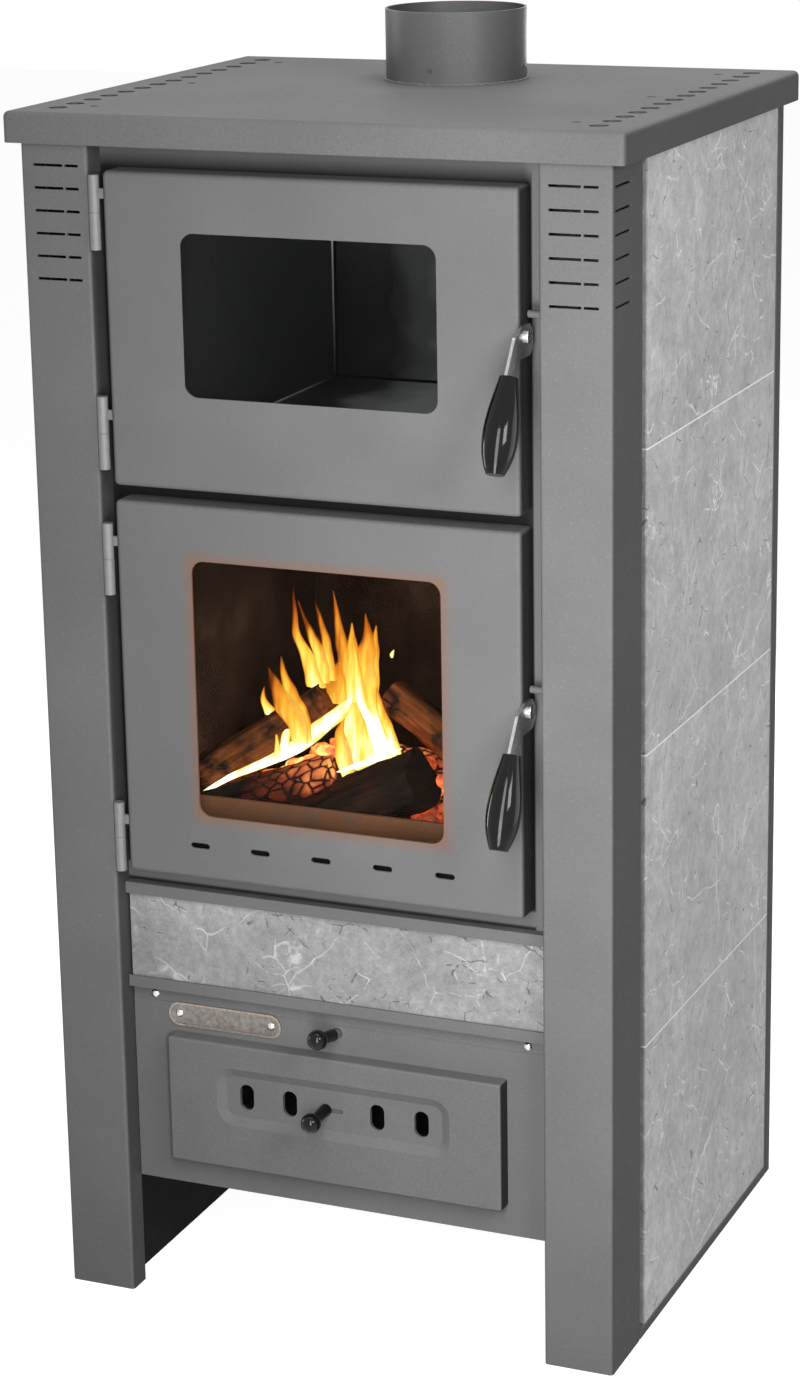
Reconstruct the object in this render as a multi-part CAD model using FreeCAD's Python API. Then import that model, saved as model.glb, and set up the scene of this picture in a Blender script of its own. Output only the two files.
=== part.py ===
import FreeCAD, Part
import math
import os

from FreeCAD import Vector

# Free-standing wood stove with an oven above the fire, an ash drawer below it and tiled sides.
# Millimetres. +X is right, +Y is back, +Z is up, and the front faces -Y.
# The model is drawn with y = 0 at the front of the posts and the floor at z = 0.
# At the end every piece moves along Y so that the origin is the middle of the footprint.

# Casing
body_width = 502.0
body_depth = 440.0
top_height = 1020.0
sheet = 2.0

# Top plate, a folded tray with rows of vent holes and fixing holes along both sides
top_side_overhang = 12.0
top_front_overhang = 7.0
top_back_overhang = 5.0
top_sheet = 2.5
top_rim = 25.0
top_corner = 5.0
top_bend = 4.9
vent_count = 14
vent_diameter = 15.0
vent_border = 34.25
vent_inset = 21.0
fixing_count = 3
fixing_diameter = 7.0
fixing_border = 51.0

# Flue collar
collar_diameter = 120.0
collar_wall = 2.0
collar_height = 60.0
collar_tail = 20.0
collar_flange = 15.0
collar_to_back = 134.0
collar_rivets = 4
collar_rivet_rise = 12.0
rivet_shank = 4.0
rivet_head = 7.0
rivet_dome = 1.6

# Corner posts, with rows of slots at the top of the front ones
post_face = 60.0
post_return = 22.0
post_side = 70.0
post_bend = 3.0
rear_post_side = 16.0
rear_post_back = 36.0
slot_rows = 6
slot_pitch = 18.3
slot_height = 2.2
slot_drop = 40.0
slot_inset = 8.5
slot_long = 26.0
slot_bridge = 2.0
slot_short = 12.0
side_slot_start = 5.0
side_slot_length = 36.0

# Tiled sides
tile_recess = 1.0
tile_thick = 8.0
tile_count = 4
tile_joint = 1.5
tile_top_gap = 5.0
tile_groove = 13.0
tile_back_gap = 0.5
base_rail_height = 8.0

# Inner welded body
convection_gap = 32.5
wall_sheet = 3.0
skirt_height = 58.0
back_gap = 30.0
oven_flue_gap = 45.0
brick_thick = 30.0
brick_courses = 2
brick_top_gap = 38.0
bed_thick = 6.0
bed_side_border = 104.5
bed_front_border = 66.0
bed_back_border = 57.0
guard_height = 34.0
guard_depth = 17.0
guard_sheet = 3.0

# Doors
door_side_gap = 14.0
door_top_gap = 19.5
door_gap = 12.0
door_proud = 4.0
door_seat_gap = 1.0
door_bend = 4.5
oven_door_height = 255.0
fire_door_height = 318.5
opening_side = 35.0
opening_rise = 24.5
window_side = 68.0
window_corner = 11.0
oven_window_rise = 76.8
oven_window_drop = 46.8
fire_window_rise = 55.7
fire_window_drop = 45.5
air_slot_count = 5
air_slot_side = 67.6
air_slot_length = 17.0
air_slot_height = 5.0
air_slot_rise = 29.4
glass_thick = 4.0
glass_lap = 12.0
clip_width = 14.0
clip_foot = 10.0
clip_lap = 8.0
clip_sheet = 1.5
clip_inset = 25.0
clip_screw = 6.0
liner_inset = 12.0
liner_sheet = 1.5
liner_depth = 11.5
liner_border = 13.0
seal_width = 11.0
seal_round = 3.0
seal_gap = 0.3

# Lift-off hinges
hinge_diameter = 9.0
hinge_length = 60.0
hinge_post_gap = 0.5
hinge_split = 0.3
hinge_pin = 5.0
hinge_pin_length = 24.0
hinge_pin_play = 0.05
hinge_pin_end_gap = 1.0
hinge_tab = 8.0
hinge_tab_thick = 3.0
hinge_weld = 18.0
hinge_weld_depth = 6.0
oven_hinge_top = 34.0
oven_hinge_bottom = 42.0
fire_hinge_top = 51.0
fire_hinge_bottom = 28.0

# Latch handles
latch_rise = 13.0
latch_nut_gap = 0.1
latch_washer = 0.6
latch_washer_diameter = 12.0
latch_play = 0.1
latch_bolt = 6.0
latch_bolt_play = 0.05
latch_head = 12.0
latch_head_height = 2.5
latch_head_round = 0.8
latch_nut = 8.0
latch_nut_height = 4.0
lever_thick = 2.5
lever_corner = 4.5
lever_crown = 9.6
lever_crown_forward = 9.0
lever_crown_back = 6.0
lever_nose = 12.6
lever_nose_top = 2.0
lever_nose_bottom = 9.0
lever_heel = 15.2
lever_heel_back = 6.0
lever_crook_forward = 15.0
lever_brow_forward = 25.6
lever_brow_rise = 2.9
grip_forward = 36.5
grip_down = 25.0
grip_tilt = 24.0
grip_length = 75.5
grip_top = 14.6
grip_belly = 28.0
grip_end = 14.0
grip_belly_drop = 45.3
grip_shoulder = 23.6
tang_diameter = 7.0
tang_length = 40.0
striker_diameter = 6.0
striker_lap = 1.6
striker_rise = 16.5
striker_back = 7.0

# Stone strip and lower front panel
strip_gap = 17.0
strip_face = 74.0
strip_thick = 6.0
strip_side_gap = 3.0
rail_height = 10.0
rail_side_gap = 1.0
rail_sheet = 1.5
rail_depth = 9.5
panel_height = 178.0
panel_sheet = 1.5
panel_side_gap = 1.0
panel_band = 13.0
panel_band_step = 0.5
screw_side = 21.0
screw_drop = 7.5
screw_head = 8.0
screw_dome = 2.2
screw_shank = 4.0
plate_side = 87.0
plate_drop = 22.3
plate_length = 105.0
plate_height = 21.0
plate_thick = 1.4
plate_rim = 1.8
plate_field = 0.5
plate_rivet_spacing = 86.0

# Ash drawer with its sliding air shutter
drawer_side = 39.0
drawer_height = 112.8
drawer_drop = 38.2
drawer_sheet = 1.5
drawer_flange = 15.3
drawer_seat_gap = 0.2
drawer_bend = 2.2
drawer_box_inset = 14.0
drawer_box_rise = 5.0
drawer_box_drop = 13.8
drawer_back_gap = 77.5
drawer_lip_gap = 3.0
drawer_opening_gap = 2.5
press_side = 45.5
press_height = 52.0
press_corner = 16.0
press_slope = 8.0
press_depth = 4.0
air_hole_drop = 47.0
air_hole_end = 18.5
air_hole_width = 12.8
air_hole_height = 23.0
shutter_sheet = 1.5
shutter_end_gap = 1.5
shutter_height = 32.0
shutter_travel = 14.0
shutter_play = 0.2
shutter_guide = 4.2
shutter_guide_lap = 3.0
shutter_rod = 3.0
shutter_slit_play = 0.4

# Grate that slides under the firebox floor
rod_drop = 19.5
rod_diameter = 8.0
rod_play = 0.4
grate_rise = 5.0
grate_gap = 0.5
grate_thick = 13.0
grate_overlap = 15.0
grate_bar = 12.0
grate_slots = 12
grate_rim = 18.0
runner_sheet = 3.0
runner_play = 0.3
runner_side_gap = 3.0
runner_lap = 15.0
drawer_runner_lip = 20.0
drawer_side_play = 0.9

# Ball knobs
knob_ball = 17.0
knob_neck = 9.0
knob_base = 11.0
knob_reach = 30.0
knob_gap = 0.3
knob_tilt = 13.4
rod_bend_out = 3.0

# A round part in a round seat that does not turn
seat_play = 0.1

# Rounded ends and crossing bends stay this share under the full radius
round_share = 0.98
least_bend = 0.4

# Levels from the top down
post_top = top_height - top_sheet
rim_bottom = top_height - top_rim
oven_door_top = rim_bottom - door_top_gap
oven_door_bottom = oven_door_top - oven_door_height
fire_door_top = oven_door_bottom - door_gap
fire_door_bottom = fire_door_top - fire_door_height
strip_top = fire_door_bottom - strip_gap
panel_top = strip_top - 2 * rail_height - strip_face
panel_bottom = panel_top - panel_height
rod_z = panel_top - rod_drop
bed_bottom = rod_z + grate_rise + grate_gap
bed_top = bed_bottom + bed_thick

# Planes from the outside in
half_body = body_width / 2
post_inner = half_body - post_face
door_half = post_inner - door_side_gap
tile_outer = half_body - tile_recess
panel_side_outer = tile_outer - tile_thick
panel_side_inner = panel_side_outer - sheet
wall_outer = panel_side_inner - convection_gap
wall_inner = wall_outer - wall_sheet
frame_front = post_return
frame_back = frame_front + sheet
rear_post_front = body_depth - rear_post_side
back_panel_front = body_depth - 2 * sheet
chamber_back = body_depth - back_gap - wall_sheet
door_front = -door_proud
door_back = frame_front - door_seat_gap
panel_front = frame_front - panel_sheet
top_half = half_body + top_side_overhang
top_back = body_depth + top_back_overhang
collar_y = top_back - collar_to_back


def block(x, y, z):
    """Box between a low and a high value along each axis."""
    corner = Vector(x[0], y[0], z[0])
    return Part.makeBox(x[1] - x[0], y[1] - y[0], z[1] - z[0], corner)


def rod(radius, start, end):
    """Round bar from one point to another."""
    axis = end - start
    return Part.makeCylinder(radius, axis.Length, start, axis)


def on_floor(a, b):
    return Vector(a, b, 0)


def on_front(a, b):
    return Vector(a, 0, b)


def on_side(a, b):
    return Vector(0, a, b)


def rounded_wire(corners, place):
    """Closed outline through corners (a, b, radius), with an arc at each corner that has a radius."""
    stops = []
    for index, (a, b, radius) in enumerate(corners):
        here = Vector(a, b, 0)
        before = Vector(*corners[index - 1][:2], 0) - here
        after = Vector(*corners[(index + 1) % len(corners)][:2], 0) - here
        before.normalize()
        after.normalize()
        half = before.getAngle(after) / 2
        reach = radius / math.tan(half)
        inward = before + after
        if radius > 0:
            inward.normalize()
        middle = here + inward * (radius / math.sin(half) - radius)
        stops.append((here + before * reach, middle, here + after * reach, radius))
    edges = []
    for index, (start, middle, end, radius) in enumerate(stops):
        if radius > 0:
            arc = [place(p.x, p.y) for p in (start, middle, end)]
            edges.append(Part.Arc(*arc).toShape())
        following = stops[(index + 1) % len(stops)][0]
        if (following - end).Length > 1e-6:
            line = [place(p.x, p.y) for p in (end, following)]
            edges.append(Part.LineSegment(*line).toShape())
    return Part.Wire(edges)


def prism(corners, place, start, length):
    """Solid pushed along the normal of the outline's plane, from start over length."""
    normal = place(1, 0).cross(place(0, 1))
    if place is on_front:
        normal = -normal
    face = Part.Face(rounded_wire(corners, place))
    face.translate(normal * start)
    return face.extrude(normal * length)


def rectangle(a, b, radius=0.0):
    """Corners of a rectangle between two pairs of values."""
    return [(a[0], b[0], radius), (a[1], b[0], radius), (a[1], b[1], radius), (a[0], b[1], radius)]


def rounded_block(x, y, z, radius):
    """Plate facing -Y with rounded corners."""
    return prism(rectangle(x, z, radius), on_front, y[0], y[1] - y[0])


def folded(points, thick, bend):
    """Outline of a folded sheet whose outer face follows points, with the metal on the left."""
    inner = []
    for index, point in enumerate(points):
        here = Vector(*point, 0)
        sides = []
        if index > 0:
            sides.append(here - Vector(*points[index - 1], 0))
        if index < len(points) - 1:
            sides.append(Vector(*points[index + 1], 0) - here)
        shift = Vector(0, 0, 0)
        for side in sides:
            side.normalize()
            shift += Vector(-side.y, side.x, 0) * thick
        inner.append(here + shift)
    last = len(points) - 1
    outer_radii = [bend if 0 < i < last else 0.0 for i in range(len(points))]
    inner_radii = [max(r - thick, 0.0) for r in outer_radii]
    outer = [(p[0], p[1], r) for p, r in zip(points, outer_radii)]
    back = [(p.x, p.y, r) for p, r in zip(inner, inner_radii)]
    return outer + back[::-1]


def flat_faces(shape, axis, value):
    """Faces of a shape that lie in the plane axis = value."""
    found = []
    for face in shape.Faces:
        low = getattr(face.BoundBox, axis + "Min")
        high = getattr(face.BoundBox, axis + "Max")
        if abs(low - value) < 1e-4 and abs(high - value) < 1e-4:
            found.append(face)
    return found


def softened(shape, run, axis, value, corner, bend):
    """Round the edges along one axis, then the outline of the face in the plane axis = value."""
    along = []
    for edge in shape.Edges:
        direction = edge.tangentAt(edge.FirstParameter)
        if abs(abs(direction.dot(run)) - 1) < 1e-6:
            along.append(edge)
    shape = shape.makeFillet(corner, along)
    return shape.makeFillet(bend, flat_faces(shape, axis, value)[0].Edges)


def front_pan(x, y, z, wall, bend):
    """Folded pan with its face at y[0], open at the back."""
    run = Vector(0, 1, 0)
    outer = softened(block(x, y, z), run, "Y", y[0], bend, bend * round_share)
    hollow = block((x[0] + wall, x[1] - wall), (y[0] + wall, y[1] + wall), (z[0] + wall, z[1] - wall))
    inner_bend = max(bend - wall, least_bend)
    return outer.cut(softened(hollow, run, "Y", y[0] + wall, inner_bend, inner_bend * round_share))


def mirrored(shape):
    return shape.mirror(Vector(0, 0, 0), Vector(1, 0, 0))


def group(shapes):
    return Part.makeCompound(shapes)


def dome(centre, out, radius, height):
    """Low spherical button that stands on a face at centre and points along out."""
    ball_radius = (radius ** 2 + height ** 2) / (2 * height)
    ball = Part.makeSphere(ball_radius, centre + out * (height - ball_radius))
    return ball.common(Part.makeCylinder(radius, height, centre, out))


def knob_profile(base, neck, ball, reach):
    """Ball knob standing on the origin along +Z."""
    ball_radius = ball / 2
    neck_radius = neck / 2
    join = reach - math.sqrt(ball_radius ** 2 - neck_radius ** 2)
    tip = Vector(0, 0, reach + ball_radius)
    side = Vector(ball_radius, 0, reach)
    start = Vector(neck_radius, 0, join)
    foot = Vector(base / 2, 0, 0)
    edges = [
        Part.LineSegment(Vector(0, 0, 0), foot).toShape(),
        Part.LineSegment(foot, start).toShape(),
        Part.Arc(start, side, tip).toShape(),
        Part.LineSegment(tip, Vector(0, 0, 0)).toShape(),
    ]
    return Part.Face(Part.Wire(edges)).revolve(Vector(0, 0, 0), Vector(0, 0, 1), 360)


def top_plate():
    x = (-top_half, top_half)
    y = (-top_front_overhang, top_back)
    z = (rim_bottom, top_height)
    run = Vector(0, 0, 1)
    bend = min(top_bend, top_corner * round_share)
    plate = softened(block(x, y, z), run, "Z", top_height, top_corner, bend)
    hollow = block(
        (x[0] + sheet, x[1] - sheet), (y[0] + sheet, y[1] - sheet), (z[0] - sheet, post_top)
    )
    inner_corner = max(top_corner - sheet, least_bend)
    inner_bend = max(bend - top_sheet, least_bend * round_share)
    plate = plate.cut(softened(hollow, run, "Z", post_top, inner_corner, inner_bend))
    below = Vector(0, 0, post_top - sheet)
    up = Vector(0, 0, 1)
    deep = top_sheet + 2 * sheet
    holes = []
    wall_middle = (wall_outer + wall_inner) / 2
    rows = (
        (half_body - vent_inset, vent_count, vent_border, vent_diameter),
        (wall_middle, fixing_count, fixing_border, fixing_diameter),
    )
    for x_row, count, border, diameter in rows:
        pitch = (y[1] - y[0] - 2 * border) / (count - 1)
        for index in range(count):
            y_hole = y[0] + border + index * pitch
            for side in (-1, 1):
                start = Vector(side * x_row, y_hole, 0) + below
                holes.append(Part.makeCylinder(diameter / 2, deep, start, up))
    flue = Part.makeCylinder(collar_diameter / 2 + seat_play, deep, Vector(0, collar_y, 0) + below, up)
    return plate.cut(holes + [flue])


def collar_directions():
    for index in range(collar_rivets):
        angle = 2 * math.pi * index / collar_rivets
        yield Vector(math.sin(angle), -math.cos(angle), 0)


def flue_collar():
    up = Vector(0, 0, 1)
    radius = collar_diameter / 2
    bottom = Vector(0, collar_y, post_top - collar_tail)
    tall = collar_tail + top_sheet + collar_height
    tube = Part.makeCylinder(radius, tall, bottom, up)
    ring = Part.makeCylinder(radius + collar_flange, sheet, Vector(0, collar_y, post_top - sheet), up)
    bore = Part.makeCylinder(radius - collar_wall, tall, bottom, up)
    holes = []
    for out in collar_directions():
        centre = Vector(0, collar_y, top_height + collar_rivet_rise)
        holes.append(rod(rivet_shank / 2 + seat_play, centre, centre + out * (radius + collar_wall)))
    return tube.fuse(ring).cut([bore] + holes)


def rivets_in_collar():
    up = Vector(0, 0, 1)
    radius = collar_diameter / 2
    base = Vector(0, collar_y, top_height)
    centre = base + up * collar_rivet_rise
    wall = Part.makeCylinder(radius, collar_height, base, up)
    bore = Part.makeCylinder(radius - collar_wall, collar_height, base, up)
    sink = 2 * (radius - math.sqrt(radius ** 2 - (rivet_head / 2) ** 2))
    shapes = []
    for out in collar_directions():
        head = dome(centre + out * (radius - sink), out, rivet_head / 2, rivet_dome + sink).cut(wall)
        shank = rod(rivet_shank / 2, centre, centre + out * (radius + rivet_dome / 2)).cut(bore)
        shapes.append(head.fuse(shank).removeSplitter())
    return group(shapes)


def slot_levels():
    for row in range(slot_rows):
        middle = post_top - slot_drop - row * slot_pitch
        yield (middle - slot_height / 2, middle + slot_height / 2)


def front_post(side):
    """Folded front post; the slots read long then short from left to right on both posts."""
    outline = folded(
        [
            (post_inner, post_return),
            (post_inner, 0),
            (half_body, 0),
            (half_body, post_side),
            (panel_side_outer, post_side),
        ],
        sheet,
        post_bend,
    )
    post = prism(outline, on_floor, 0, post_top)
    if side < 0:
        post = mirrored(post)
    total = slot_long + slot_bridge + slot_short
    middle = side * (post_inner + slot_inset + total / 2)
    left = middle - total / 2
    right = middle + total / 2
    cuts = []
    for z in slot_levels():
        cuts.append(block((left, left + slot_long), (-sheet, 2 * sheet), z))
        cuts.append(block((right - slot_short, right), (-sheet, 2 * sheet), z))
        reach = sorted((side * (half_body - 2 * sheet), side * (half_body + sheet)))
        cuts.append(block(reach, (side_slot_start, side_slot_start + side_slot_length), z))
    return post.cut(cuts)


def rear_post():
    outline = folded(
        [
            (panel_side_outer, rear_post_front),
            (half_body, rear_post_front),
            (half_body, body_depth),
            (half_body - rear_post_back, body_depth),
        ],
        sheet,
        post_bend,
    )
    return prism(outline, on_floor, 0, post_top)


def base_rail():
    y = (post_side, rear_post_front)
    shelf = block((panel_side_outer, half_body), y, (base_rail_height - sheet, base_rail_height))
    face = block((half_body - sheet, half_body), y, (0, base_rail_height))
    return shelf.fuse(face).removeSplitter()


def side_tiles():
    free = post_top - tile_top_gap - base_rail_height - (tile_count - 1) * tile_joint
    height = free / tile_count
    tiles = []
    for course in range(tile_count):
        bottom = base_rail_height + course * (height + tile_joint)
        tiles.append(
            block(
                (panel_side_outer, tile_outer),
                (post_side + tile_groove, rear_post_front - tile_back_gap),
                (bottom, bottom + height),
            )
        )
    return group(tiles)


def side_panel():
    return block((panel_side_inner, panel_side_outer), (frame_front, back_panel_front), (0, post_top))


def back_panel():
    return block(
        (-panel_side_outer, panel_side_outer),
        (back_panel_front, body_depth - sheet),
        (panel_bottom, post_top),
    )


def body_walls():
    """Left, right and back sheets of the welded firebox body."""
    y = (frame_back, chamber_back + wall_sheet)
    right = block((wall_inner, wall_outer), y, (skirt_height, post_top))
    back = block(
        (-wall_inner, wall_inner), (chamber_back, chamber_back + wall_sheet), (panel_bottom, post_top)
    )
    return group([mirrored(right), right, back])


def base_skirts():
    """Sheets that carry the side walls of the body down to the floor."""
    y = (frame_back, chamber_back + wall_sheet)
    right = block((wall_inner, wall_outer), y, (0, skirt_height))
    return group([mirrored(right), right])


def bottom_plate():
    return block(
        (-wall_inner, wall_inner), (frame_back, chamber_back), (panel_bottom, panel_bottom + sheet)
    )


opening_half = door_half - opening_side
oven_opening = (oven_door_bottom + opening_rise, oven_door_top - opening_rise)
fire_opening = (fire_door_bottom + opening_rise, fire_door_top - opening_rise)
drawer_top = panel_top - drawer_drop
drawer_bottom = drawer_top - drawer_height
drawer_half = post_inner - drawer_side
box_half = drawer_half - drawer_box_inset
box_bottom = drawer_bottom + drawer_box_rise
box_top = drawer_top - drawer_box_drop
drawer_opening_x = (-box_half - drawer_opening_gap, box_half + drawer_opening_gap)
drawer_opening_z = (box_bottom - drawer_opening_gap, box_top + drawer_opening_gap)
screw_x = post_inner - screw_side
screw_z = panel_top - screw_drop
plate_x = plate_side - post_inner


def panel_cuts(y):
    """Drawer opening, rod hole and screw holes that pass through the sheets of the lower front."""
    cuts = [block(drawer_opening_x, y, drawer_opening_z)]
    cuts.append(rod(rod_diameter / 2 + rod_play, Vector(0, y[0], rod_z), Vector(0, y[1], rod_z)))
    for side in (-1, 1):
        start = Vector(side * screw_x, y[0], screw_z)
        cuts.append(rod(screw_shank / 2 + seat_play, start, Vector(side * screw_x, y[1], screw_z)))
    return cuts


def front_frame():
    y = (frame_front, frame_back)
    through = (frame_front - sheet, frame_back + sheet)
    frame = block((-panel_side_inner, panel_side_inner), y, (panel_bottom, post_top))
    openings = []
    for z in (oven_opening, fire_opening):
        openings.append(block((-opening_half, opening_half), through, z))
    return frame.cut(openings + panel_cuts(through))


def strip_rails():
    half = post_inner - rail_side_gap
    front = frame_front - rail_depth
    rails = []
    for top, foot in ((strip_top, strip_top - rail_sheet), (panel_top + rail_height, panel_top)):
        lip = block((-half, half), (front, front + rail_sheet), (top - rail_height, top))
        leg = block((-half, half), (front, frame_front), (foot, foot + rail_sheet))
        rails.append(lip.fuse(leg).removeSplitter())
    return group(rails)


def strip_tile():
    half = post_inner - strip_side_gap
    return block(
        (-half, half),
        (frame_front - strip_thick, frame_front),
        (panel_top + rail_sheet, strip_top - rail_sheet),
    )


def lower_front_panel():
    half = post_inner - panel_side_gap
    panel = block((-half, half), (panel_front, frame_front), (panel_bottom, panel_top))
    band = block(
        (-half, half), (panel_front, panel_front + panel_band_step), (panel_top - panel_band, panel_top)
    )
    return panel.cut([band] + panel_cuts((panel_front - sheet, frame_front + sheet)))


def panel_screws():
    face = panel_front + panel_band_step
    screws = []
    for side in (-1, 1):
        centre = Vector(side * screw_x, face, screw_z)
        head = dome(centre, Vector(0, -1, 0), screw_head / 2, screw_dome)
        screws.append(head.fuse(rod(screw_shank / 2, centre, Vector(side * screw_x, frame_back, screw_z))))
    return group(screws)


def name_plate():
    """Bare oval plate with a raised rim and two rivet holes."""
    z_middle = panel_top - plate_drop
    x = (plate_x - plate_length / 2, plate_x + plate_length / 2)
    z = (z_middle - plate_height / 2, z_middle + plate_height / 2)
    face = panel_front - plate_thick
    plate = rounded_block(x, (face, panel_front), z, plate_height / 2 * round_share)
    field = rounded_block(
        (x[0] + plate_rim, x[1] - plate_rim),
        (face, face + plate_field),
        (z[0] + plate_rim, z[1] - plate_rim),
        (plate_height / 2 - plate_rim) * round_share,
    )
    holes = []
    for side in (-1, 1):
        start = Vector(plate_x + side * plate_rivet_spacing / 2, face - sheet, z_middle)
        holes.append(rod(rivet_shank / 2 + seat_play, start, start + Vector(0, plate_thick + sheet, 0)))
    return plate.cut([field] + holes)


def plate_rivets():
    z_middle = panel_top - plate_drop
    face = panel_front - plate_thick + plate_field
    shapes = []
    for side in (-1, 1):
        centre = Vector(plate_x + side * plate_rivet_spacing / 2, face, z_middle)
        head = dome(centre, Vector(0, -1, 0), rivet_head / 2, rivet_dome)
        shapes.append(head.fuse(rod(rivet_shank / 2, centre, Vector(centre.x, panel_front, z_middle))))
    return group(shapes)


oven_back = chamber_back - oven_flue_gap - sheet


def oven_liner():
    """Welded oven box: floor, roof, two walls and a back, open to the front."""
    low, high = oven_opening
    out = opening_half + sheet
    deep = (frame_back, oven_back + sheet)
    floor = block((-out, out), deep, (low - sheet, low))
    roof = block((-out, out), deep, (high, high + sheet))
    right = block((opening_half, out), deep, (low, high))
    back = block((-opening_half, opening_half), (oven_back, oven_back + sheet), (low, high))
    return group([floor, roof, mirrored(right), right, back])


def brick_levels():
    under_oven = oven_opening[0] - sheet - brick_top_gap
    height = (under_oven - bed_top) / brick_courses
    for course in range(brick_courses):
        yield (bed_top + course * height, bed_top + (course + 1) * height)


def side_bricks():
    x = (wall_inner - brick_thick, wall_inner)
    y = (frame_back, chamber_back - brick_thick)
    return group([block(x, y, z) for z in brick_levels()])


def back_bricks():
    y = (chamber_back - brick_thick, chamber_back)
    return group([block((-wall_inner, wall_inner), y, z) for z in brick_levels()])


bed_opening_half = wall_inner - bed_side_border
bed_opening_y = (frame_back + bed_front_border, chamber_back - bed_back_border)
grate_half = bed_opening_half + grate_overlap
grate_y = (bed_opening_y[0] - grate_overlap, bed_opening_y[1] + grate_overlap)
grate_top = rod_z + grate_rise
grate_bottom = grate_top - grate_thick


def grate_bed_plate():
    plate = block((-wall_inner, wall_inner), (frame_back, chamber_back), (bed_bottom, bed_top))
    x = (-bed_opening_half, bed_opening_half)
    return plate.cut(block(x, bed_opening_y, (bed_bottom - sheet, bed_top + sheet)))


def moving_grate():
    grate = block((-grate_half, grate_half), grate_y, (grate_bottom, grate_top))
    start = grate_y[0] + grate_rim
    length = grate_y[1] - grate_y[0] - 2 * grate_rim
    slot = (length - (grate_slots - 1) * grate_bar) / grate_slots
    cuts = []
    for index in range(grate_slots):
        low = start + index * (slot + grate_bar)
        half = grate_half - grate_rim
        cuts.append(block((-half, half), (low, low + slot), (grate_bottom - sheet, grate_top + sheet)))
    return grate.cut(cuts)


def grate_runners():
    """Angles under the firebox floor that carry the sliding grate."""
    y = (frame_back, chamber_back)
    outer = grate_half + runner_side_gap + runner_sheet
    shelf_top = grate_bottom - runner_play
    shelf = block((grate_half - runner_lap, outer), y, (shelf_top - runner_sheet, shelf_top))
    leg = block((outer - runner_sheet, outer), y, (shelf_top - runner_sheet, bed_bottom))
    right = shelf.fuse(leg).removeSplitter()
    return group([mirrored(right), right])


knob_lift = math.radians(knob_tilt)
knob_axis = Vector(0, -math.cos(knob_lift), math.sin(knob_lift))
rod_elbow = Vector(0, panel_front - rod_bend_out, rod_z)


def grate_rod():
    """Straight rod from the grate to the front, cranked up where it takes the knob."""
    straight = rod(rod_diameter / 2, Vector(0, grate_y[0], rod_z), rod_elbow)
    elbow = Part.makeSphere(rod_diameter / 2, rod_elbow)
    stub = rod(rod_diameter / 2, rod_elbow, rod_elbow + knob_axis * rod_diameter)
    return straight.fuse([elbow, stub]).removeSplitter()


def placed_knob(base, axis):
    knob = knob_profile(knob_base, knob_neck, knob_ball, knob_reach)
    knob.Placement = FreeCAD.Placement(base, FreeCAD.Rotation(Vector(0, 0, 1), axis))
    return knob


def grate_knob():
    return placed_knob(rod_elbow + knob_axis * rod_diameter, knob_axis)


def log_guard():
    """Angle behind the fire opening that keeps the logs off the door."""
    low = fire_opening[0]
    back = frame_back + guard_depth
    shelf = block((-opening_half, opening_half), (frame_back, back), (low - guard_sheet, low))
    fence = block((-opening_half, opening_half), (back - guard_sheet, back), (low, low + guard_height))
    return shelf.fuse(fence).removeSplitter()


def drawer_runners():
    """Shelf bars under the drawer, each with a guide strip welded along its outer edge."""
    y = (frame_back, chamber_back)
    shelf_top = box_bottom - runner_play
    inner = box_half + drawer_side_play
    shelf = block((box_half - runner_lap, inner + sheet), y, (shelf_top - sheet, shelf_top))
    strip = block((inner, inner + sheet), y, (shelf_top, shelf_top + drawer_runner_lip))
    return group([mirrored(shelf), shelf, mirrored(strip), strip])


drawer_back_face = panel_front - drawer_seat_gap
drawer_front_face = drawer_back_face - drawer_flange
press_floor = drawer_front_face + press_depth
air_z = drawer_top - air_hole_drop
press_half = drawer_half - press_side
air_hole_pitch = (press_half - press_slope - air_hole_end) / 2
shutter_half = press_half - press_slope - shutter_end_gap
shutter_front = press_floor + drawer_sheet + shutter_play
knob_x = -shutter_travel / 2


def air_holes(y):
    """Upright oblong air holes, two on each side of the knob."""
    holes = []
    for index in (-2, -1, 1, 2):
        middle = index * air_hole_pitch
        x = (middle - air_hole_width / 2, middle + air_hole_width / 2)
        z = (air_z - air_hole_height / 2, air_z + air_hole_height / 2)
        holes.append(rounded_block(x, y, z, air_hole_width / 2 * round_share))
    return holes


def pressing(y, wide, narrow):
    """Pocket with sloping sides: grown by wide at the front plane and by narrow at the back plane."""
    wires = []
    for plane, grow in zip(y, (wide, narrow)):
        x = (-press_half - grow, press_half + grow)
        z = (air_z - press_height / 2 - grow, air_z + press_height / 2 + grow)
        wire = rounded_wire(rectangle(x, z, press_corner + grow), on_front)
        wire.translate(Vector(0, plane, 0))
        wires.append(wire)
    return Part.makeLoft(wires, True, True)


def ash_drawer_front():
    pan = front_pan(
        (-drawer_half, drawer_half),
        (drawer_front_face, drawer_back_face),
        (drawer_bottom, drawer_top),
        drawer_sheet,
        drawer_bend,
    )
    behind = pressing(
        (drawer_front_face + drawer_sheet, press_floor + drawer_sheet),
        drawer_sheet,
        drawer_sheet - press_slope,
    )
    pocket = pressing((drawer_front_face, press_floor), 0.0, -press_slope)
    through = (drawer_front_face, drawer_back_face)
    reach = shutter_travel / 2 + shutter_rod / 2 + shutter_slit_play
    half_slit = shutter_rod / 2 + shutter_slit_play
    slit_z = (air_z - half_slit, air_z + half_slit)
    slit = rounded_block((-reach, reach), through, slit_z, half_slit * round_share)
    return pan.fuse(behind).cut([pocket, slit] + air_holes(through)).removeSplitter()


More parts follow.
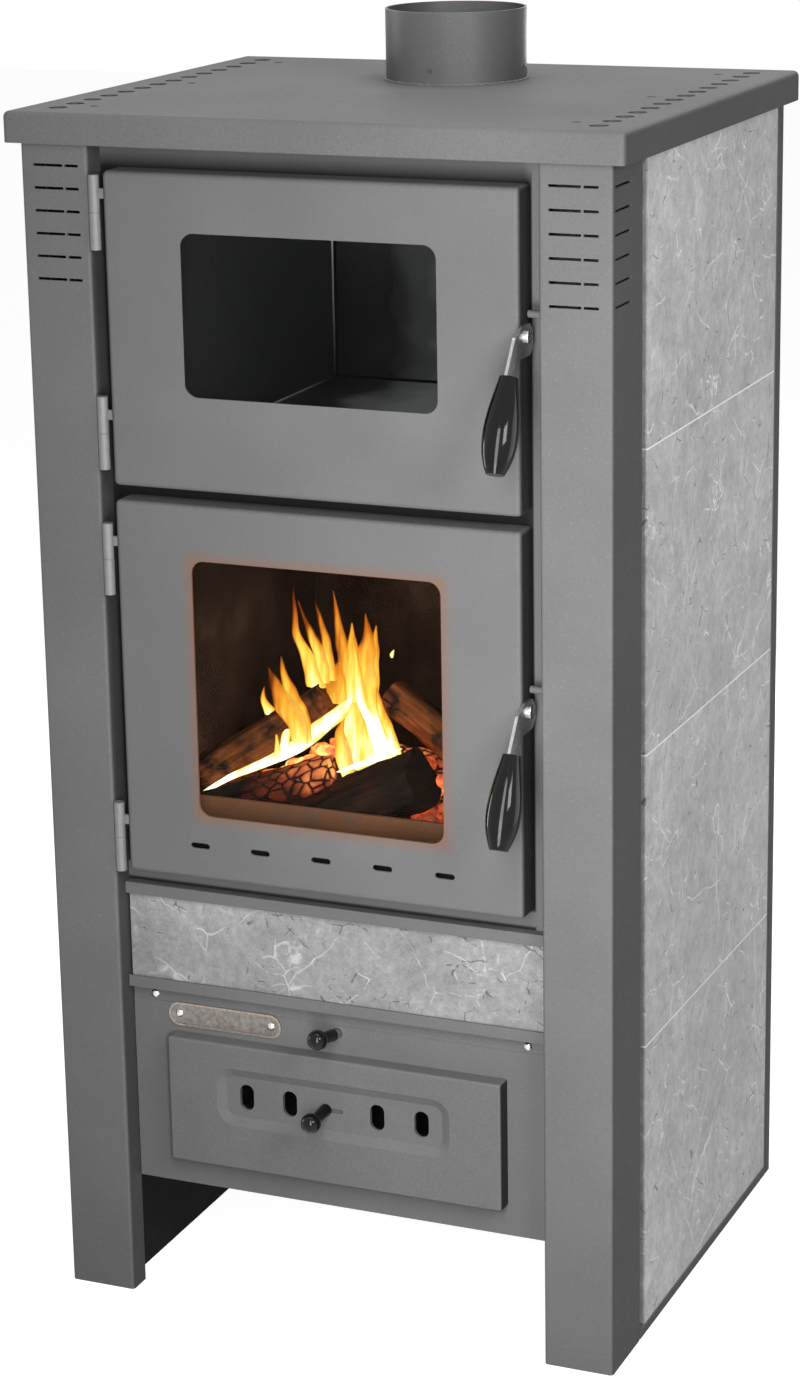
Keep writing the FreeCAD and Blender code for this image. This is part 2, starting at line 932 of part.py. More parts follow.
def ash_drawer_box():
    """Open tray behind the drawer front: floor, two walls, a back and a low front lip."""
    y = (drawer_front_face + drawer_sheet, chamber_back - drawer_back_gap)
    inner = box_half - drawer_sheet
    above_floor = box_bottom + drawer_sheet
    lip_top = air_z - press_height / 2 - drawer_sheet - drawer_lip_gap
    floor = block((-box_half, box_half), y, (box_bottom, above_floor))
    right = block((inner, box_half), y, (above_floor, box_top))
    back = block((-inner, inner), (y[1] - drawer_sheet, y[1]), (above_floor, box_top))
    lip = block((-inner, inner), (y[0], y[0] + drawer_sheet), (above_floor, lip_top))
    return group([floor, mirrored(right), right, back, lip])


def air_shutter():
    """Plate behind the air holes; its own holes line up with them at rest."""
    y = (shutter_front, shutter_front + shutter_sheet)
    plate = block(
        (-shutter_half, shutter_half), y, (air_z - shutter_height / 2, air_z + shutter_height / 2)
    )
    hole = rod(shutter_rod / 2 + seat_play, Vector(knob_x, y[0], air_z), Vector(knob_x, y[1], air_z))
    return plate.cut(air_holes(y) + [hole])


def shutter_guides():
    """Stepped strips above and below the shutter, on the back of the pressed pocket."""
    back = press_floor + drawer_sheet
    step = shutter_front + shutter_sheet + shutter_play
    x = (-shutter_half, shutter_half)
    edge = shutter_height / 2 + shutter_play
    strips = []
    for side in (-1, 1):
        spacer = sorted((air_z + side * edge, air_z + side * (edge + shutter_guide)))
        cover = sorted((air_z + side * (edge - shutter_guide_lap), air_z + side * (edge + shutter_guide)))
        foot = block(x, (back, step), spacer)
        lap = block(x, (step, step + shutter_sheet), cover)
        strips.append(foot.fuse(lap).removeSplitter())
    return group(strips)


def shutter_knob():
    base = Vector(knob_x, press_floor - knob_gap, air_z)
    stem = rod(shutter_rod / 2, base, Vector(knob_x, shutter_front + shutter_sheet, air_z))
    return placed_knob(base, Vector(0, -1, 0)).fuse(stem).removeSplitter()


class Door:
    """One of the two doors: its height, its window and where its hinges sit."""

    def __init__(self, bottom, top, window_rise, window_drop, hinge_low, hinge_high):
        self.bottom = bottom
        self.top = top
        self.window_z = (bottom + window_rise, top - window_drop)
        self.hinges = (bottom + hinge_low, top - hinge_high)
        self.latch_z = (bottom + top) / 2 + latch_rise


oven_door = Door(
    oven_door_bottom, oven_door_top, oven_window_rise, oven_window_drop, oven_hinge_bottom, oven_hinge_top
)
fire_door = Door(
    fire_door_bottom, fire_door_top, fire_window_rise, fire_window_drop, fire_hinge_bottom, fire_hinge_top
)
doors = {"oven": oven_door, "fire": fire_door}
window_half = door_half - window_side
glass_front = door_front + sheet
hinge_x = -(post_inner - hinge_post_gap - hinge_diameter / 2)
hinge_y = 0.0
latch_y = door_front + door_bend + latch_nut_gap + latch_nut / 2
lever_inner = door_half + latch_washer + latch_play
lever_middle = lever_inner + lever_thick / 2
head_inner = lever_inner + lever_thick + latch_play


def air_slots(door, y):
    slots = []
    first = air_slot_side - door_half
    pitch = -2 * first / (air_slot_count - 1)
    for index in range(air_slot_count):
        middle = first + index * pitch
        x = (middle - air_slot_length / 2, middle + air_slot_length / 2)
        z_middle = door.bottom + air_slot_rise
        z = (z_middle - air_slot_height / 2, z_middle + air_slot_height / 2)
        slots.append(rounded_block(x, y, z, air_slot_height / 2 * round_share))
    return slots


def door_pan(door, slotted):
    pan = front_pan(
        (-door_half, door_half), (door_front, door_back), (door.bottom, door.top), sheet, door_bend
    )
    through = (door_front - sheet, glass_front)
    cuts = [rounded_block((-window_half, window_half), through, door.window_z, window_corner)]
    if slotted:
        cuts += air_slots(door, through)
    start = Vector(door_half - 2 * sheet, latch_y, door.latch_z)
    cuts.append(rod(latch_bolt / 2 + seat_play, start, start + Vector(3 * sheet, 0, 0)))
    return pan.cut(cuts)


def door_glass(door):
    z = (door.window_z[0] - glass_lap, door.window_z[1] + glass_lap)
    half = window_half + glass_lap
    return block((-half, half), (glass_front, glass_front + glass_thick), z)


def glass_clips(door):
    """Four stepped clips, each with a screw head, that hold the glass by its upright edges."""
    edge = window_half + glass_lap + seat_play
    back = glass_front + glass_thick
    clips = []
    for level in (door.window_z[0] + clip_inset, door.window_z[1] - clip_inset):
        z = (level - clip_width / 2, level + clip_width / 2)
        foot = block((edge, edge + clip_foot), (glass_front, back), z)
        cover = block((edge - clip_lap, edge + clip_foot), (back, back + clip_sheet), z)
        head_base = Vector(edge + clip_foot / 2, back + clip_sheet, level)
        head = dome(head_base, Vector(0, 1, 0), clip_screw / 2, clip_sheet)
        right = foot.fuse([cover, head]).removeSplitter()
        clips += [mirrored(right), right]
    return group(clips)


liner_back = glass_front + liner_depth


def door_liner(door):
    """Shallow pan behind the glass that carries the seal."""
    half = door_half - liner_inset
    z = (door.bottom + liner_inset, door.top - liner_inset)
    outer = block((-half, half), (glass_front, liner_back), z)
    hollow = block(
        (-half + liner_sheet, half - liner_sheet),
        (glass_front, liner_back - liner_sheet),
        (z[0] + liner_sheet, z[1] - liner_sheet),
    )
    view = rounded_block(
        (-window_half - liner_border, window_half + liner_border),
        (glass_front, liner_back),
        (door.window_z[0] - liner_border, door.window_z[1] + liner_border),
        window_corner,
    )
    return outer.cut([hollow, view])


def door_seal(door):
    """Rope ring between the liner and the front frame."""
    half = door_half - liner_inset
    y = (liner_back, frame_front - seal_gap)
    z = (door.bottom + liner_inset, door.top - liner_inset)
    run = Vector(0, 1, 0)
    ring = softened(block((-half, half), y, z), run, "Y", y[1], seal_width, seal_round)
    inner = block(
        (-half + seal_width, half - seal_width), y, (z[0] + seal_width, z[1] - seal_width)
    )
    return ring.cut(inner)


def door_knuckles(door):
    """Upper hinge knuckles, bored from below, with the tab that is welded to the door."""
    up = Vector(0, 0, 1)
    radius = hinge_diameter / 2
    shapes = []
    for middle in door.hinges:
        start = Vector(hinge_x, hinge_y, middle + hinge_split / 2)
        tall = hinge_length / 2 - hinge_split / 2
        barrel = Part.makeCylinder(radius, tall, start, up)
        tab_y = door_front + door_bend
        tab_z = middle + hinge_length / 4
        tab = block(
            (hinge_x, -door_half),
            (tab_y, tab_y + hinge_tab_thick),
            (tab_z - hinge_tab / 2, tab_z + hinge_tab / 2),
        )
        bore_length = hinge_pin_length + hinge_pin_end_gap
        bore = Part.makeCylinder(hinge_pin / 2 + hinge_pin_play, bore_length, start, up)
        shapes.append(barrel.fuse(tab).removeSplitter().cut(bore))
    return group(shapes)


def hinge_pins():
    """Lower hinge knuckles welded to the left post, each with its upright pin."""
    up = Vector(0, 0, 1)
    radius = hinge_diameter / 2
    shapes = []
    for door in doors.values():
        for middle in door.hinges:
            bottom = middle - hinge_length / 2
            tall = hinge_length / 2 - hinge_split / 2
            barrel = Part.makeCylinder(radius, tall, Vector(hinge_x, hinge_y, bottom), up)
            pin = Part.makeCylinder(
                hinge_pin / 2, hinge_pin_length, Vector(hinge_x, hinge_y, bottom + tall), up
            )
            weld_z = middle - hinge_length / 4
            weld = block(
                (-post_inner, hinge_x),
                (post_bend, post_bend + hinge_weld_depth),
                (weld_z - hinge_weld / 2, weld_z + hinge_weld / 2),
            )
            shapes.append(barrel.fuse([pin, weld]).removeSplitter())
    return group(shapes)


def latch_bolt_set(door):
    """Pivot bolt with its nut inside the door flange and the washer between flange and lever."""
    out = Vector(1, 0, 0)
    axis = Vector(0, latch_y, door.latch_z)
    radius = latch_bolt / 2
    nut_end = door_half - sheet
    nut_start = nut_end - latch_nut_height
    shank = rod(radius, axis + out * nut_start, axis + out * head_inner)
    head = Part.makeCylinder(latch_head / 2, latch_head_height, axis + out * head_inner, out)
    rim = flat_faces(head, "X", head_inner + latch_head_height)[0].Edges
    head = head.makeFillet(latch_head_round, rim)
    hexagon = []
    for index in range(6):
        angle = math.radians(60 * index + 30)
        reach = latch_nut / 2 / math.cos(math.radians(30))
        hexagon.append((latch_y + reach * math.cos(angle), door.latch_z + reach * math.sin(angle), 0.0))
    nut = prism(hexagon, on_side, nut_start, latch_nut_height)
    nut = nut.cut(rod(radius + seat_play, axis + out * nut_start, axis + out * nut_end))
    washer = rod(latch_washer_diameter / 2, axis + out * door_half, axis + out * (door_half + latch_washer))
    washer = washer.cut(rod(radius + seat_play, axis + out * door_half, axis + out * lever_inner))
    return group([shank.fuse(head).removeSplitter(), nut, washer])


grip_lean = math.radians(grip_tilt)
grip_axis = Vector(0, -math.sin(grip_lean), -math.cos(grip_lean))


def grip_start(door):
    return Vector(lever_middle, latch_y - grip_forward, door.latch_z - grip_down)


def latch_lever(door):
    """Flat cranked lever: an eye on the bolt, a nose behind it and an arm down to the grip."""
    across = Vector(0, grip_axis.z, -grip_axis.y) * (grip_top / 2)
    front = Vector(0, -grip_forward, -grip_down) + across
    rear = Vector(0, -grip_forward, -grip_down) - across
    outline = [
        (-lever_crook_forward, -lever_heel),
        (lever_heel_back, -lever_heel),
        (lever_nose, -lever_nose_bottom),
        (lever_nose, lever_nose_top),
        (lever_crown_back, lever_crown),
        (-lever_crown_forward, lever_crown),
        (-lever_brow_forward, lever_brow_rise),
    ]
    corners = [(front.y, front.z, 0.0), (rear.y, rear.z, 0.0)]
    corners += [(a, b, lever_corner) for a, b in outline]
    corners = [(a + latch_y, b + door.latch_z, r) for a, b, r in corners]
    plate = prism(corners, on_side, lever_inner, lever_thick)
    tang = rod(tang_diameter / 2, grip_start(door), grip_start(door) + grip_axis * tang_length)
    out = Vector(1, 0, 0)
    axis = Vector(0, latch_y, door.latch_z)
    eye = rod(latch_bolt / 2 + latch_bolt_play, axis + out * door_half, axis + out * (head_inner + sheet))
    return plate.fuse(tang).removeSplitter().cut(eye)


def latch_grip(door):
    """Barrel-shaped grip turned about its own axis, bored for the lever's tang."""
    bore = tang_diameter / 2 + seat_play
    bottom = tang_length + seat_play
    curve = Part.BSplineCurve()
    curve.interpolate(
        [
            Vector(grip_top / 2, 0, 0),
            Vector(grip_shoulder / 2, 0, grip_belly_drop / 2),
            Vector(grip_belly / 2, 0, grip_belly_drop),
            Vector(grip_end / 2, 0, grip_length),
        ]
    )
    ends = [Vector(grip_end / 2, 0, grip_length), Vector(0, 0, grip_length), Vector(0, 0, bottom)]
    ends += [Vector(bore, 0, bottom), Vector(bore, 0, 0), Vector(grip_top / 2, 0, 0)]
    edges = [curve.toShape()]
    for start, end in zip(ends, ends[1:]):
        edges.append(Part.LineSegment(start, end).toShape())
    grip = Part.Face(Part.Wire(edges)).revolve(Vector(0, 0, 0), Vector(0, 0, 1), 360)
    grip.Placement = FreeCAD.Placement(grip_start(door), FreeCAD.Rotation(Vector(0, 0, 1), grip_axis))
    return grip


def latch_strikers():
    """Pins on the right post above the latch noses."""
    pins = []
    for door in doors.values():
        y = latch_y + striker_back
        z = door.latch_z + striker_rise
        tip = Vector(lever_inner + lever_thick - striker_lap, y, z)
        pins.append(rod(striker_diameter / 2, tip, Vector(post_inner, y, z)))
    return group(pins)


pieces = {
    "top_plate": top_plate(),
    "flue_collar": flue_collar(),
    "collar_rivets": rivets_in_collar(),
    "left_front_post": front_post(-1),
    "right_front_post": front_post(1),
    "left_rear_post": mirrored(rear_post()),
    "right_rear_post": rear_post(),
    "left_base_rail": mirrored(base_rail()),
    "right_base_rail": base_rail(),
    "left_side_tiles": mirrored(side_tiles()),
    "right_side_tiles": side_tiles(),
    "left_side_panel": mirrored(side_panel()),
    "right_side_panel": side_panel(),
    "back_panel": back_panel(),
    "body_walls": body_walls(),
    "base_skirts": base_skirts(),
    "bottom_plate": bottom_plate(),
    "front_frame": front_frame(),
    "strip_rails": strip_rails(),
    "strip_tile": strip_tile(),
    "lower_front_panel": lower_front_panel(),
    "panel_screws": panel_screws(),
    "name_plate": name_plate(),
    "plate_rivets": plate_rivets(),
    "oven_liner": oven_liner(),
    "left_firebricks": mirrored(side_bricks()),
    "right_firebricks": side_bricks(),
    "back_firebricks": back_bricks(),
    "grate_bed_plate": grate_bed_plate(),
    "grate_runners": grate_runners(),
    "log_guard": log_guard(),
    "drawer_runners": drawer_runners(),
    "hinge_pins": hinge_pins(),
    "latch_strikers": latch_strikers(),
    "moving_grate": moving_grate(),
    "grate_rod": grate_rod(),
    "grate_knob": grate_knob(),
    "ash_drawer_front": ash_drawer_front(),
    "ash_drawer_box": ash_drawer_box(),
    "shutter_guides": shutter_guides(),
    "air_shutter": air_shutter(),
    "shutter_knob": shutter_knob(),
}
for name, door in doors.items():
    pieces[name + "_door_pan"] = door_pan(door, slotted=name == "fire")
    pieces[name + "_glass"] = door_glass(door)
    pieces[name + "_glass_clips"] = glass_clips(door)
    pieces[name + "_door_liner"] = door_liner(door)
    pieces[name + "_door_seal"] = door_seal(door)
    pieces[name + "_door_knuckles"] = door_knuckles(door)
    pieces[name + "_latch_bolt"] = latch_bolt_set(door)
    pieces[name + "_handle_lever"] = latch_lever(door)
    pieces[name + "_handle_grip"] = latch_grip(door)

# The footprint's middle lies halfway between the foremost grip and the back of the top plate.
foremost = min(pieces[name + "_handle_grip"].optimalBoundingBox().YMin for name in doors)
origin_y = (foremost + top_back) / 2

os.makedirs("parts", exist_ok=True)
for name, shape in pieces.items():
    shape.translate(Vector(0, -origin_y, 0))
    shape.exportStep("parts/" + name + ".step")
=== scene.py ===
import bmesh
import bpy
import math
import random
from mathutils import Matrix, Vector, noise


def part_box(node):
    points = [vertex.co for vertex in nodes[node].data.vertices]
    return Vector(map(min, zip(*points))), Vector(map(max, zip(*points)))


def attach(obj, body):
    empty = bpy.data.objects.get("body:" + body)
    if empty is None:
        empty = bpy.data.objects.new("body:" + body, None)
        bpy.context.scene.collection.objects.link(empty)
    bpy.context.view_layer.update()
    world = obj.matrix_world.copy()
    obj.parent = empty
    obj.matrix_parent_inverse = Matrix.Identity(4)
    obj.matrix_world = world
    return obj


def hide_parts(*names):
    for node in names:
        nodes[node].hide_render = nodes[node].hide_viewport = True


# Looks of a wood stove with an oven: finishes, stone, rope seals, weld seams and a lit fire.
# Metres. +X is right, +Y is back, +Z is up, and the front faces -Y.

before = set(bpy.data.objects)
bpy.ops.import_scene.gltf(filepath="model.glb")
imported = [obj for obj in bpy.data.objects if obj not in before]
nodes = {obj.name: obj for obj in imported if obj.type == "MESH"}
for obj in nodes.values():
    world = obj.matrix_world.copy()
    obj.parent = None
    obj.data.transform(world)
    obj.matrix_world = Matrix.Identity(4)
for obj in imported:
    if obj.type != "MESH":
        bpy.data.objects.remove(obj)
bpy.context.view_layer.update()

MM = 0.001
SHEET = 0.002
GLASS_LAP = 0.012
COLLAR_RADIUS = 0.060
TILE_COURSES = 4
front_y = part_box("right_front_post")[0].y


def behind_front(x, depth, z):
    """Point at a depth behind the front plane of the posts."""
    return Vector((x, front_y + depth, z))


# Shaders

def rgba(color):
    """Opaque colour; a plain number makes a grey."""
    shade = (color, color, color) if isinstance(color, (int, float)) else color
    return (*shade, 1.0)


class Shader:
    """A material with a Principled surface, and short calls for its nodes."""

    def __init__(self, name, color, roughness, metallic=0.0, specular=0.5):
        self.material = bpy.data.materials.new(name)
        self.material.use_nodes = True
        self.tree = self.material.node_tree
        self.surface = self.tree.nodes["Principled BSDF"]
        self.feed("Base Color", color)
        self.feed("Roughness", roughness)
        self.feed("Metallic", metallic)
        self.feed("Specular IOR Level", specular)

    def put(self, socket, value):
        """A socket takes another node's output or a constant."""
        if isinstance(value, bpy.types.NodeSocket):
            self.tree.links.new(value, socket)
        elif socket.type == "RGBA":
            socket.default_value = rgba(value)
        else:
            socket.default_value = value

    def feed(self, name, value):
        self.put(self.surface.inputs[name], value)

    def add(self, kind, inputs=None, **settings):
        node = self.tree.nodes.new(kind)
        for name, value in settings.items():
            setattr(node, name, value)
        for name, value in (inputs or {}).items():
            self.put(node.inputs[name], value)
        return node

    # Where a point of the piece is

    def axis(self, name, source="Object"):
        """One axis of the piece's own coordinates, or of its normals."""
        own = self.add("ShaderNodeTexCoord").outputs[source]
        return self.add("ShaderNodeSeparateXYZ", {"Vector": own}).outputs[name]

    def beyond(self, axis, start):
        """Distance past a place along one axis."""
        return self.math("SUBTRACT", self.axis(axis), start)

    def place(self, stretch=(1, 1, 1), at=None):
        """Stretched coordinates: those given, or the piece's own in metres."""
        own = at or self.add("ShaderNodeTexCoord").outputs["Object"]
        return self.add("ShaderNodeMapping", {"Vector": own, "Scale": stretch}).outputs["Vector"]

    def warp(self, at, scale, reach):
        """Coordinates pushed about by a slow noise."""
        inputs = {"Scale": scale, "Detail": 4.0, "Vector": at}
        push = self.add("ShaderNodeTexNoise", inputs).outputs["Color"]
        push = self.vector("SUBTRACT", push, (0.5, 0.5, 0.5))
        return self.vector("ADD", at, self.vector("MULTIPLY", push, (reach, reach, reach)))

    def attribute(self, name, output="Fac"):
        return self.add("ShaderNodeAttribute", attribute_name=name).outputs[output]

    # Patterns

    def noise(self, scale, detail=2.0, rough=0.5, at=None):
        inputs = {"Scale": scale, "Detail": detail, "Roughness": rough, "Vector": at or self.place()}
        return self.add("ShaderNodeTexNoise", inputs).outputs["Fac"]

    def cells(self, scale, at):
        """Distance to the nearest border between cells."""
        inputs = {"Scale": scale, "Vector": at}
        node = self.add("ShaderNodeTexVoronoi", inputs, feature="DISTANCE_TO_EDGE")
        return node.outputs["Distance"]

    # Arithmetic

    def math(self, operation, *values):
        node = self.add("ShaderNodeMath", operation=operation)
        for socket, value in zip(node.inputs, values):
            self.put(socket, value)
        return node.outputs["Value"]

    def vector(self, operation, a, b):
        return self.add("ShaderNodeVectorMath", {0: a, 1: b}, operation=operation).outputs["Vector"]

    def swing(self, value, reach):
        """A noise moved to swing about zero."""
        return self.math("MULTIPLY", self.math("SUBTRACT", value, 0.5), reach)

    def fade(self, distance, reach):
        """Rises from 0 at no distance to 1 at the reach."""
        return self.ramp(self.math("DIVIDE", distance, reach), (0.0, 0.0), (1.0, 1.0))

    # Colours and surfaces

    def ramp(self, value, *stops, ease="LINEAR"):
        """Colour ramp through (position, grey or colour) stops."""
        node = self.add("ShaderNodeValToRGB", {"Fac": value})
        node.color_ramp.interpolation = ease
        elements = node.color_ramp.elements
        while len(elements) < len(stops):
            elements.new(0.5)
        for element, (position, color) in zip(elements, stops):
            element.position = position
            element.color = rgba(color)
        return node.outputs["Color"]

    def spread(self, value, low, high):
        """From low to high over the range where most of a noise lies."""
        return self.ramp(value, (0.3, low), (0.7, high))

    def mix(self, factor, a, b, kind="MIX"):
        """Mix of two colours, which are sockets 6, 7 and output 2 of the node."""
        node = self.add("ShaderNodeMix", data_type="RGBA", blend_type=kind)
        for index, value in ((0, factor), (6, a), (7, b)):
            self.put(node.inputs[index], value)
        return node.outputs[2]

    def times(self, color, *shades):
        for shade in shades:
            color = self.mix(1.0, color, shade, "MULTIPLY")
        return color

    def bump(self, height, strength, distance):
        inputs = {"Height": height, "Strength": strength, "Distance": distance}
        self.feed("Normal", self.add("ShaderNodeBump", inputs).outputs["Normal"])

    def show(self, factor, first, second):
        """The material's surface goes from the first shader to the second."""
        inputs = {0: factor, 1: first.outputs[0], 2: second.outputs[0]}
        both = self.add("ShaderNodeMixShader", inputs).outputs[0]
        self.put(self.tree.nodes["Material Output"].inputs["Surface"], both)


# Paint

# Painted shade: the dark tone of the faces that turn sideways on the doors and the drawer
DOOR_SIDE_SHADE = 0.03
# Painted shade: the dark tone of the frame in the gaps round the doors, and how fast it fades
GAP_SHADE = 0.022
GAP_SHADE_FADE_RIGHT = 0.0015
GAP_SHADE_FADE_TOP = 0.012
# Painted firelight: the warm colour round the fire window, and how far it reaches
PAINTED_FIRELIGHT = (0.24, 0.115, 0.065)
PAINTED_FIRELIGHT_REACH = 0.0125


def paint(name, tone=0.155, roughness=0.56, specular=0.05, side=0.065, doors=None, window=None):
    """Heat-proof grey paint with a fine grain; faces that turn sideways take a darker tone, which is
    painted shade.

    It has painted shade in the gaps where the doors given close on it, and painted firelight round the
    window given."""
    shader = Shader(name, tone, roughness, specular=specular)
    # Painted shade: faces that turn to the sides take the darker side tone
    turned = shader.math("ABSOLUTE", shader.axis("X", "Normal"))
    painted_side_shade = shader.ramp(turned, (0.55, 0.0), (0.97, 1.0))
    tint = shader.mix(painted_side_shade, (tone, tone, tone * 1.015), side)
    cloud = shader.spread(shader.noise(7.0, 3.0), 0.93, 1.07)
    grain = shader.spread(shader.noise(1500.0, 1.0), 0.88, 1.12)
    fleck = shader.ramp(shader.noise(620.0, 2.0), (0.60, 1.0), (0.74, 1.22))
    color = shader.times(tint, cloud, grain, fleck)
    if doors:
        # Painted shade in the gaps round the doors
        color = shader.mix(clear_of_door_shade(shader, *doors), GAP_SHADE, color)
    if window:
        # Painted firelight round the fire window
        color = shader.mix(near_window(shader, *window), color, PAINTED_FIRELIGHT)
    shader.feed("Base Color", color)
    shader.feed("Roughness", shader.spread(shader.noise(240.0), roughness - 0.04, roughness + 0.05))
    shader.bump(shader.noise(1100.0, 2.0), 0.16, 0.0004)
    return shader.material


def clear_of_door_shade(shader, foot, low, high):
    """1 where no painted shade lies: right of the doors, above them, and from the foot up to them."""
    right = shader.fade(shader.beyond("X", high.x), GAP_SHADE_FADE_RIGHT)
    above = shader.fade(shader.beyond("Z", high.z), GAP_SHADE_FADE_TOP)
    rise = shader.math("DIVIDE", shader.beyond("Z", foot.z), low.z - foot.z)
    below = shader.ramp(rise, (0.10, 0.0), (0.22, 1.0), (0.85, 1.0), (1.0, 0.0))
    return shader.math("MAXIMUM", shader.math("MAXIMUM", right, above), below)


def near_window(shader, low, high):
    """Strongest at the edge of an opening, and nothing past the reach of the glow."""
    middle = (low + high) / 2
    half = (high - low) / 2
    squares = []
    for axis, centre, reach in (("X", middle.x, half.x), ("Z", middle.z, half.z)):
        away = shader.math("ABSOLUTE", shader.beyond(axis, centre))
        gap = shader.math("MAXIMUM", shader.math("SUBTRACT", away, reach), 0.0)
        squares.append(shader.math("POWER", gap, 2.0))
    gap = shader.math("SQRT", shader.math("ADD", *squares))
    share = shader.math("DIVIDE", gap, PAINTED_FIRELIGHT_REACH)
    return shader.ramp(share, (0.0, 0.62), (0.3, 0.32), (0.85, 0.0))


# Stone

COURSE_SHIFT = (3.7, 1.9, 1.0)  # how far the pattern moves on from course to course


def stone(name, tone, foot, pitch, cracked):
    """Honed grey stone: clouds, angular pale veins and short dark cracks, new in each course."""
    shader = Shader(name, tone, 0.5, specular=0.2)
    course = shader.math("FLOOR", shader.math("DIVIDE", shader.beyond("Z", foot), pitch))
    course = shader.add("ShaderNodeCombineXYZ", {"X": course, "Y": course, "Z": course})
    shift = shader.vector("MULTIPLY", course.outputs["Vector"], COURSE_SHIFT)
    at = shader.vector("ADD", shader.place(), shift)
    loose = shader.warp(at, 7.0, 0.09)
    tight = shader.warp(at, 34.0, 0.018)

    cloud = shader.noise(5.0, 5.0, 0.6, loose)
    color = shader.ramp(cloud, (0.30, tone * 0.76), (0.50, tone * 0.96), (0.70, tone * 1.18))
    speckles = ((38.0, 5.0, 0.86, 1.12), (150.0, 4.0, 0.87, 1.11), (620.0, 2.0, 0.91, 1.08))
    for scale, detail, low, high in speckles:
        speckle = shader.ramp(shader.noise(scale, detail, 0.68, at), (0.36, low), (0.64, high))
        color = shader.times(color, speckle)

    # Scale, path, width and strength of the veins, and the noise that breaks them
    veins = (
        (4.6, loose, 0.0010, 0.70, 13.0, 0.47, 0.60),
        (9.5, tight, 0.0009, 0.80, 17.0, 0.48, 0.60),
        (21.0, tight, 0.0008, 0.75, 20.0, 0.50, 0.62),
        (44.0, tight, 0.0010, 0.95, 30.0, 0.600, 0.665),
    )
    for scale, path, width, strength, patch, low, high in veins:
        vein = shader.cells(scale, shader.vector("ADD", path, (0.0, 0.0, scale)))
        vein = shader.ramp(vein, (0.0, strength), (width * scale, 0.0))
        where = shader.ramp(shader.noise(patch, 4.0, 0.65, tight), (low, 0.0), (high, 1.0))
        color = shader.mix(shader.times(vein, where), color, min(0.95, tone * 2.0))

    # Scale, path and width of the cracks, and the scale of the noise that breaks them
    cracks = ((8.0, tight, 0.0008, 26.0), (17.0, tight, 0.0008, 38.0), (40.0, loose, 0.0007, 60.0))
    for scale, path, width, patch in cracks:
        crack = shader.cells(scale, shader.vector("ADD", path, (5.0, 2.0, 7.0)))
        crack = shader.ramp(crack, (0.0, 1.0), (width * scale, 0.0))
        where = shader.ramp(shader.noise(patch, 3.0, 0.6, at), (cracked, 0.0), (cracked + 0.05, 1.0))
        color = shader.mix(shader.times(crack, where), color, tone * 0.25)
    shader.feed("Base Color", color)
    shader.feed("Roughness", shader.spread(cloud, 0.44, 0.58))
    shader.bump(shader.noise(420.0, 4.0, 0.6, at), 0.15, 0.0005)
    return shader.material


def grout():
    shader = Shader("tile_joint", 0.92, 0.85, specular=0.1)
    shader.feed("Base Color", shader.spread(shader.noise(160.0, 4.0), 0.86, 0.97))
    shader.bump(shader.noise(900.0, 3.0), 0.2, 0.0004)
    return shader.material


# Metal, moulding, enamel, brick, glass and rope

ENAMEL_LIGHT_REACH = 0.115  # from the left wall to where the enamel's painted light is at its fullest
RUST = (0.21, 0.082, 0.035)
ZINC_STAIN = (0.17, 0.095, 0.05)


def gloss_black():
    """Hard black moulding with very fine swirl marks."""
    shader = Shader("gloss_black", 0.010, 0.09, specular=0.26)
    shader.feed("Base Color", shader.spread(shader.noise(40.0, 3.0), 0.001, 0.003))
    shader.feed("Roughness", shader.ramp(shader.noise(300.0, 4.0), (0.35, 0.07), (0.75, 0.13)))
    return shader.material


def steel(name, tone, roughness, streak=(1, 1, 1), stain=0.0, metallic=1.0):
    """Bare metal with fine brushing along one axis and an optional brown bloom."""
    shader = Shader(name, tone, roughness, metallic=metallic)
    brushed = shader.noise(900.0, 3.0, 0.6, shader.place(streak))
    color = shader.spread(brushed, tone * 0.84, tone * 1.14)
    if stain:
        spots = shader.ramp(shader.noise(130.0, 4.0, 0.6), (0.52, 0.0), (0.72, stain))
        color = shader.mix(spots, color, ZINC_STAIN)
    shader.feed("Base Color", color)
    shader.feed("Roughness", shader.spread(brushed, roughness - 0.07, roughness + 0.09))
    shader.bump(brushed, 0.12, 0.0003)
    return shader.material


def enamel():
    """Dark glossy lining of the oven, with painted light that makes it paler towards the right, most on
    the floor.
    """
    shader = Shader("oven_enamel", 0.03, 0.12)
    shader.feed("IOR", 1.6)
    low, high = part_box("oven_liner")
    across = shader.math("DIVIDE", shader.beyond("X", low.x), ENAMEL_LIGHT_REACH)
    across = shader.math("ADD", across, shader.swing(shader.noise(22.0, 3.0), 0.6))
    # Painted light: the walls and still more the floor grow pale towards the right, a pool of light
    wall_light = shader.ramp(across, (0.0, 0.007), (0.42, 0.012), (0.85, 0.11), (1.0, 0.19), ease="EASE")
    floor = shader.ramp(across, (0.0, 0.012), (0.40, 0.02), (0.75, 0.55), (1.0, 0.80), ease="EASE")
    on_floor = shader.math("LESS_THAN", shader.axis("Z"), low.z + SHEET * 1.5)
    on_back = shader.math("GREATER_THAN", shader.axis("Y"), high.y - SHEET * 1.5)
    shader.feed("Base Color", shader.mix(on_floor, wall_light, floor))
    polish = shader.spread(shader.noise(18.0, 3.0), 0.10, 0.18)
    shader.feed("Roughness", shader.mix(on_back, shader.mix(on_floor, 0.55, 0.34), polish))
    return shader.material


def dull_steel(name, tone, specular=0.4):
    """Dark rolled sheet with scale and a trace of rust."""
    shader = Shader(name, tone, 0.6, specular=specular)
    scale = shader.spread(shader.noise(28.0, 6.0, 0.65), tone * 0.7, tone * 1.3)
    rust = shader.ramp(shader.noise(60.0, 5.0, 0.7), (0.60, 0.0), (0.78, 0.5))
    shader.feed("Base Color", shader.mix(rust, scale, (tone, tone * 0.48, tone * 0.22)))
    shader.bump(shader.noise(260.0, 4.0), 0.2, 0.0006)
    return shader.material


